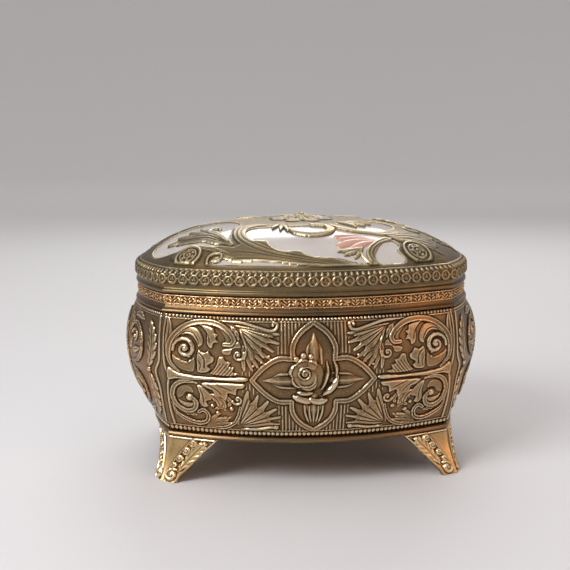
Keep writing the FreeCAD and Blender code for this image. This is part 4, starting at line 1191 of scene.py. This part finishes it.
PALMETTE_X, PALMETTE_Y = 20.6, -26.6     # point from which the lobes spread
PALMETTE_SINK = 0.7          # its zero level under the plain crown
for name, turn in (("front_palmette", 1), ("back_palmette", -1)):
    u, v = np.meshgrid(np.linspace(-14, 1.5, 94), np.linspace(-9.5, 2.5, 73), indexing="ij")
    shape = palmette(u, v)
    px, py = (PALMETTE_X + u) * turn, (PALMETTE_Y + v) * turn
    pz = dome_height(px, py) - PALMETTE_SINK + shape
    keep = (shape[:-1, :-1] + shape[1:, 1:]) > 0.02
    # the edge attribute here is painted shade: darkest at the lobes' edges and in the low hollows
    # between them
    grid_object(name, np.stack([px, py, pz], -1), "lid", PINK, "enamel_pink",
                             keep=keep, edge=np.clip(1.2 - 1.6 * shape, 0, 1))
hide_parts("enamel_pink")

# rosette on the crown: rings of turned leaves round a berry-like knob
ROSETTE_R = 10.6
rr, aa = np.meshgrid(np.linspace(0, ROSETTE_R, 56),
                     np.linspace(0, 2 * math.pi, 360, endpoint=False), indexing="ij")
rosette_h = np.zeros(rr.shape)
for count, inner, outer, lift, shift in ((8, 3.0, 10.3, 0.9, 0.0), (8, 2.4, 7.4, 1.35, 0.5),
                                         (6, 0.8, 4.6, 1.9, 0.25)):
    k = (aa / (2 * math.pi) * count + shift) % 1 - 0.5
    q = np.clip((rr - inner) / (outer - inner), 0, 1)
    width = 0.5 * np.sin(math.pi * np.clip(q * 0.86 + 0.1, 0, 1)) ** 0.6
    across = np.abs(k) / np.maximum(width, 1e-3)
    petal = lift * arch(across) * (1 - 0.45 * q)
    petal *= 1 - 0.35 * np.exp(-(k * rr * 6.0 / count) ** 2 * 9)
    petal *= 1 - 0.14 * np.cos(q * 26 + 7 * np.abs(k))
    rosette_h = np.maximum(rosette_h, np.where((rr > inner) & (rr < outer), petal, 0))
knob = 2.5 * arch(rr / 2.6) * (0.86 + 0.14 * np.cos(aa * 6 + rr * 3))
rosette_h = np.maximum(rosette_h, knob)
rx, ry = rr * np.cos(aa), rr * np.sin(aa)
rz = dome_height(rx, ry) + np.where(rr > ROSETTE_R - 0.2, -0.3, rosette_h * 0.85 + 0.1)
points = np.transpose(np.stack([rx, ry, rz], -1), (1, 0, 2))
rosette = grid_object("rosette_relief", points, "lid", PEWTER, "antique_cast", wrap=True,
                      cavity=np.clip((rosette_h - 0.55) * 1.1, -1, 1).T)
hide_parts("lid_rosette")


# ---------------------------------------------------------------------------------------
# Feet
# ---------------------------------------------------------------------------------------

FOOT_X, FOOT_Y = CORNER_X - FOOT_DRAW, CORNER_Y - FOOT_DRAW
FOOT_FRONT, FOOT_SIDE = FRONT_BOW - FRONT_LOSS[0], SIDE_BOW - SIDE_LOSS[0]
FOOT_FLARE = 3.0             # toes stand outside the base by this
WING_TOE = 2.6               # length of a wing at its toe, inside the corner
WING_TOP = {"back": 14.0, "right": 11.0}     # its length under the base plate


def foot_section(z):
    flare = FOOT_FLARE * (1 - z / BASE_Z) ** 1.6
    return FOOT_X + flare, FOOT_Y + flare, FOOT_FRONT + 0 * z, FOOT_SIDE + 0 * z


def wing_length(z, top):
    t = np.clip(z / BASE_Z, 0, 1)
    inner = np.interp(t, [0, 0.13, 0.34, 0.68, 1.0],
                      [WING_TOE - 1, WING_TOE, top * 0.39, top * 0.69, top])
    return inner + FOOT_FLARE * (1 - t) ** 1.6


def wing_divide(z, top):
    """Line between the smooth field by the ridge and the carved one."""
    return 0.7 + 0.44 * top * (z / BASE_Z) ** 1.7


def wing_height(p, z, length, top):
    """Smooth field by the ridge, a lobed leaf beyond a curved line, volute on the toe."""
    divide = wing_divide(z, top)
    edge = length - p
    carved = p > divide
    h = 0.1 + 0.16 * smooth((1.2 - p) / 1.2)
    h = np.where(carved, 0.02 + 0.12 * (cell_noise(p, z, 0.7, 5) - 0.4), h)
    r = Relief(p, z)
    spine = [(0.35 * wing_divide(q, top) + 0.65 * float(wing_length(q, top)), q)
             for q in (3.0, 5.6, 8.6, 11.9)]
    r.leaf(spine, 0.15 * top, 0.8, lobes=6, depth=0.3, slant=1.4, sides=(1, 1), vein=0.3)
    for q, size in ((4.7, 0.85), (6.7, 1.1), (9.0, 1.3), (11.4, 1.2)):
        cx = float(wing_divide(q, top)) + 0.95 * size
        r.bead(cx, q, size, 0.8)
        r.stroke(spiral(cx, q, size, 0.2 * size, 210, 1.2), 0.3, 1.05, taper=(0.5, 0.8))
    r.stroke(spiral(2.5, 1.9, 1.7, 0.2, 60, 1.7), 0.56, 1.0, taper=(0.8, 0.8))
    r.bead(2.5, 1.9, 0.7, 1.15)
    h = np.maximum(h, r.h * (p > divide - 0.2 * (z > 4.4)))
    line = 0.6 * arch((p - divide) / 0.34) * (z > 3.0)
    rim = 0.7 * arch((edge - 0.42) / 0.44)
    head = 0.5 * arch((BASE_Z - z - 0.35) / 0.35)
    return np.maximum.reduce([h, line, rim, head])


def foot_wing(side, top, n=74, m=68):
    """Grid over one wing of the back right foot, from its ridge to its slanting edge."""
    z = np.linspace(0.0, BASE_Z, m)
    q = np.linspace(0, 1, n)[:, None]
    a, b, front, end = foot_section(z)
    reach = wing_length(z, top)
    p = q * reach[None]
    if side == "back":
        u = 1 - p / a[None]
        base = np.stack([u * a, b + front * (1 - u ** 2), z + 0 * u], -1)
    else:
        u = 1 - p / b[None]
        base = np.stack([a + end * (1 - u ** 2), u * b, z + 0 * u], -1)
    return base, p, z[None] + 0 * p, reach[None] + 0 * p


wings = {key: foot_wing(key, top) for key, top in WING_TOP.items()}
dirs = {}
for key, (base, p, z, reach) in wings.items():
    out = normals(base)
    dirs[key] = out if out[..., :2].mean((0, 1)).sum() >= 0 else -out    # away from the box
ridge_n = dirs["back"][0] + dirs["right"][0]
ridge_n /= 1 + (dirs["back"][0] * dirs["right"][0]).sum(-1, keepdims=True)
wing_skins = []
for key, (base, p, z, reach) in wings.items():
    near = smooth(1 - p / 1.4)[..., None]
    nn = dirs[key] + (ridge_n[None] - dirs[key]) * near
    h = wing_height(p, z, reach, WING_TOP[key])
    cav = cavity_of(h, 0.2, 0.7, 0.3)
    h = h + 0.05
    h = np.where(np.arange(len(h))[:, None] >= len(h) - 1, -0.5, h)
    skin = base + nn * h[..., None]
    skin[..., 2] = np.maximum(skin[..., 2], 0.0)
    wing_skins.append((skin, cav, key == "right"))

for x_sign, y_sign, name in ((1, 1, "back_right"), (-1, 1, "back_left"), (1, -1, "front_right"),
                             (-1, -1, "front_left")):
    for points, cav, side_wing in wing_skins:
        pts = points * np.array([x_sign, y_sign, 1.0])
        if (x_sign * y_sign < 0) != side_wing:
            pts, cav = pts[::-1], cav[::-1]
        grid_object("foot_" + name + ("_end_leaf" if side_wing else "_long_leaf"), pts, "box",
                    GILT, "gilt_foot", cavity=cav)


# ---------------------------------------------------------------------------------------
# Lining
# ---------------------------------------------------------------------------------------

LINING_IN = 3.0              # inner face of the plush walls, inside the panels' outer face


def inflate(obj, held, cap, pressure, slack=0.05, scale=10.0, frames=20):
    """Lets the cover swell over its filling as cloth; no point moves more than the cap.

    The piece is a few centimetres across, so it is blown up at ten times its size.
    """
    scene = bpy.context.scene
    count = len(obj.data.vertices)
    start = np.empty(count * 3)
    obj.data.vertices.foreach_get("co", start)
    obj.data.vertices.foreach_set("co", start * scale)
    group = obj.vertex_groups.new(name="held")
    group.add(np.nonzero(held.ravel())[0].tolist(), 1.0, "REPLACE")
    cloth = obj.modifiers.new("cloth", "CLOTH")
    st = cloth.settings
    st.quality = 5
    st.tension_stiffness = st.compression_stiffness = 12.0
    st.shear_stiffness = 6.0
    st.bending_stiffness = 0.3
    st.shrink_min = -slack
    st.use_pressure = True
    st.uniform_pressure_force = pressure
    st.effector_weights.gravity = 0.0
    st.vertex_group_mass = group.name
    cloth.point_cache.frame_start, cloth.point_cache.frame_end = 1, frames
    scene.frame_start, scene.frame_end = 1, frames
    for frame_number in range(1, frames + 1):
        scene.frame_set(frame_number)
    settled = obj.evaluated_get(bpy.context.evaluated_depsgraph_get()).data
    end = np.empty(count * 3)
    settled.vertices.foreach_get("co", end)
    obj.modifiers.remove(cloth)
    obj.vertex_groups.clear()
    scene.frame_set(1)
    start = start.reshape(-1, 3)
    move = end.reshape(-1, 3) / scale - start
    size = np.linalg.norm(move, axis=1, keepdims=True)
    limit = cap * MM
    move = move * np.minimum(1.0, limit / np.maximum(size, 1e-9))
    obj.data.vertices.foreach_set("co", (start + move).ravel())
    obj.data.update()


def soften(obj):
    obj.modifiers.new("rounding", "SUBSURF").levels = 1
    obj.modifiers["rounding"].render_levels = 1


def plush_wall(side):
    """Padded wall board: puffed face, rolled top edge, plain back."""
    n, m = 110, 44
    u = np.linspace(-0.992, 0.992, n)
    z = np.linspace(WALL_Z + 0.9, NECK_Z - 0.5, m)
    uu, zz = np.meshgrid(u, z, indexing="ij")
    t = (zz - z[0]) / (z[-1] - z[0])
    rise = np.minimum(1, np.minimum((1 - np.abs(uu)) / 0.06, (1 - t) / 0.07))
    puff = arch(1 - np.clip(rise, 0, 1))
    wave = 0.05 * np.sin(uu * 23 + 2 * np.sin(t * 6)) * np.sin(t * 9 + uu * 5)
    board_face = 1.95
    inset = board_face + (LINING_IN - board_face) * (0.15 + 0.85 * puff) + wave * puff

    def sheet(depth):
        a, b, front, end = wall_section(zz)
        x, y = swell(uu, (a - depth, b - depth, front, end), side)
        return np.stack([x, y, zz], -1)
    face, rear = sheet(inset), sheet(board_face + 0 * uu)
    loop = np.concatenate([face[:, ::-1], rear[:, 1:]], axis=1)[::-1]
    obj = grid_object("plush_" + side, loop, "box", PLUSH, "plush")
    held = np.ones(loop.shape[:2], bool)
    held[4:-4, 4:m - 2] = False
    inflate(obj, held, 0.35, 3.0)
    soften(obj)
    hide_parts("lining_" + side)


for side in SIDES:
    plush_wall(side)

PAD_IN = 3.35                # edge of the floor pad, inside the panels' outer face
TUFTS = ((-18, 0), (18, 0), (0, 14), (0, -14), (0, 0))


def floor_pad():
    """Loose pad on the floor card, drawn down at five stitched points."""
    low, high = box_mm("lining_floor_pad")
    n, m = 110, 90
    a, b, front, end = wall_section(np.array(WALL_Z))
    x, y, r = bowed_grid(n, m, (a - PAD_IN, b - PAD_IN, front, end))
    rim = arch(np.clip((r - 0.93) / 0.07, 0, 1))
    puff = 0.45 * (1 - r ** 4)
    tufts = sum(np.exp(-((x - cx) ** 2 + (y - cy) ** 2) / 9.0) for cx, cy in TUFTS)
    z = low[2] + 0.15 + (high[2] - low[2] - 0.75) * rim + puff - 0.7 * tufts
    top = np.stack([x, y, z], -1)
    bottom = np.stack([x, y, low[2] + 0.04 + 0 * x], -1)
    loop = np.concatenate([bottom[:, ::-1], top], axis=1)[::-1]
    obj = grid_object("floor_cushion", loop, "box", PLUSH, "plush")
    held = np.concatenate([np.ones((n, m), bool), tufts > 0.75], axis=1)[::-1]
    held[:2] = held[-2:] = held[:, -2:] = True
    inflate(obj, held, 0.9, 3.0)
    soften(obj)
    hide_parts("lining_floor_pad")


floor_pad()


def crown_lining():
    """Padded plush inside the crown, drawn tight at its edge and up to one stitch."""
    n, m = 110, 94
    x, y = crown_grid(n, m)
    scale_x, scale_y = (DOME_X - 1.3) / DOME_X, (DOME_Y - 1.3) / DOME_Y
    share = dome_share(x, y)
    x, y = x * scale_x, y * scale_y
    roll = arch(np.clip((share - 0.9) / 0.1, 0, 1))
    folds = 0.18 * np.cos(np.arctan2(y, x * 0.8) * 24) * smooth((share - 0.2) / 0.6) * roll
    tuft = np.exp(-(x ** 2 + y ** 2) / 10.0)
    dome = DOME_Z + DOME_RISE * (1 - share ** DOME_POWER)
    z = dome - 2.6 - 1.25 * roll + folds + 1.5 * tuft
    under = np.stack([x, y, z - 0.2 * (share > 0.98)], -1)
    above = np.stack([x, y, dome - 2.45], -1)
    loop = np.concatenate([under[:, ::-1], above], axis=1)[::-1]
    obj = grid_object("crown_cushion", loop, "lid", PLUSH, "plush")
    held = np.concatenate([(tuft > 0.8) | (share > 0.95), np.ones((n, m), bool)], axis=1)
    held = np.concatenate([held[:, :m][:, ::-1], held[:, m:]], axis=1)[::-1]
    inflate(obj, held, 0.5, 3.0)
    soften(obj)
    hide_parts("lining_lid_pad")


crown_lining()

# ---------------------------------------------------------------------------------------
# Castings and hardware that keep their CAD shape
# ---------------------------------------------------------------------------------------

CAD_FINISH = {
    "base_plate": ANTIQUE, "shoulder_ring": COVE, "gilt_collar": FRIEZE, "lid_shell": COVE,
    "foot_front_left": GILT, "foot_front_right": GILT, "foot_back_left": GILT,
    "foot_back_right": GILT, "hinge_body_leaf": BRASS, "hinge_lid_leaf": BRASS,
    "hinge_pin": STEEL, "hinge_body_rivets": BRASS, "hinge_lid_rivets": BRASS,
    "lining_floor_card": CARD, "lining_lid_card": CARD,
}
for node, material in CAD_FINISH.items():
    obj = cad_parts[node]
    obj.data.materials.clear()
    obj.data.materials.append(material)

# ---------------------------------------------------------------------------------------
# Floor, light and camera
# ---------------------------------------------------------------------------------------


def plain(name, colour, roughness):
    s = Shader(name)
    tone = s.noise(0.01, 2)
    s.link(s.mix(s.math("MULTIPLY", tone, 0.06), colour, rgb(200, 200, 204)),
           s.bsdf.inputs["Base Color"])
    s.bsdf.inputs["Roughness"].default_value = roughness
    return s.mat


steps = np.linspace(0, 1, 40)
sweep_r = np.concatenate([[0.0, 0.5, 1.2], 1.8 + 1.6 * np.sin(steps * math.pi / 2)]) / MM
sweep_z = np.concatenate([[0.0, 0.0, 0.0], 1.6 * (1 - np.cos(steps * math.pi / 2))]) / MM
around = np.linspace(0, 2 * math.pi, 97)[:-1, None]
floor = bpy.data.objects.new("floor", bpy.data.meshes.new("floor"))
points = np.stack([np.cos(around) * sweep_r, np.sin(around) * sweep_r, sweep_z + 0 * around], -1)
index = np.arange(96 * len(sweep_r)).reshape(96, -1)
index = np.vstack([index, index[:1]])
quads = np.stack([index[:-1, :-1], index[:-1, 1:], index[1:, 1:], index[1:, :-1]], -1)
floor.data.from_pydata((points.reshape(-1, 3) * MM).tolist(), [],
                       quads[:, ::-1].reshape(-1, 4).tolist())
floor.data.polygons.foreach_set("use_smooth", [True] * len(floor.data.polygons))
bpy.context.scene.collection.objects.link(floor)
floor.data.materials.append(plain("floor", rgb(212, 208, 206), 0.6))

world = bpy.data.worlds.new("studio")
bpy.context.scene.world = world
world.use_nodes = True
tree = world.node_tree
sky = tree.nodes["Background"]
where = tree.nodes.new("ShaderNodeTexCoord").outputs["Generated"]
split = tree.nodes.new("ShaderNodeSeparateXYZ")
tree.links.new(where, split.inputs[0])
band = tree.nodes.new("ShaderNodeValToRGB")
stops = band.color_ramp.elements
stops[0].position, stops[0].color = 0.48, rgb(150, 146, 142)
stops[1].position, stops[1].color = 0.92, rgb(250, 250, 252)
middle = stops.new(0.58)
middle.color = rgb(196, 194, 194)
half = tree.nodes.new("ShaderNodeMath")
half.operation = "MULTIPLY_ADD"
half.inputs[1].default_value = half.inputs[2].default_value = 0.5
tree.links.new(split.outputs["Z"], half.inputs[0])
tree.links.new(half.outputs[0], band.inputs["Fac"])
tree.links.new(band.outputs["Color"], sky.inputs["Color"])
sky.inputs["Strength"].default_value = 0.45


def softbox(name, location, target, size, power, colour):
    data = bpy.data.lights.new(name, "AREA")
    data.shape = "RECTANGLE"
    data.size, data.size_y = size
    data.energy = power
    data.color = colour[:3]
    lamp = bpy.data.objects.new(name, data)
    bpy.context.scene.collection.objects.link(lamp)
    lamp.location = location
    lamp.rotation_euler = (Vector(target) - Vector(location)).to_track_quat("-Z", "Y").to_euler()


# a wide soft ceiling, a cool key from the left, a warm fill from the right and a rim light
# behind; four lamps that face outwards light the backdrop all round
softbox("ceiling", (0, 0, 2.4), (0, 0, 0), (3.0, 3.0), 14.0, rgb(252, 252, 255))
softbox("key", (-0.38, -0.32, 0.42), (0, 0, 0.03), (0.30, 0.30), 3.2, rgb(246, 249, 255))
softbox("fill", (0.50, -0.36, 0.22), (0, 0, 0.03), (0.22, 0.30), 0.45, rgb(255, 190, 140))
softbox("rim", (0.10, 0.55, 0.45), (0, 0, 0.05), (0.50, 0.25), 1.6, rgb(250, 252, 255))

for k, (dx, dy) in enumerate(((0, 1), (1, 0), (0, -1), (-1, 0))):
    softbox("wall_%d" % k, (0.9 * dx, 0.9 * dy, 1.5), (3.2 * dx, 3.2 * dy, 0.7), (1.6, 0.8), 9.0,
            rgb(250, 250, 252))

# camera: a third of a metre off, a little left of the middle and a little above the lid
cam_data = bpy.data.cameras.new("camera")
cam_data.sensor_width = 36.0
cam_data.lens = 64.2
cam_data.clip_start, cam_data.clip_end = 0.01, 20.0
camera = bpy.data.objects.new("camera", cam_data)
bpy.context.scene.collection.objects.link(camera)
azimuth, distance, height = math.radians(-4.8), 0.3199, 0.1019
camera.location = (math.sin(azimuth) * distance, -math.cos(azimuth) * distance, height)
turn, pitch, roll = math.radians(-3.9), math.radians(8.8), math.radians(-0.3)
look = Vector((-math.sin(turn) * math.cos(pitch), math.cos(turn) * math.cos(pitch),
               -math.sin(pitch)))
camera.rotation_mode = "QUATERNION"
camera.rotation_quaternion = look.to_track_quat("-Z", "Y") @ Quaternion((0, 0, 1), roll)
bpy.context.scene.camera = camera
bpy.context.scene.view_settings.view_transform = "Standard"
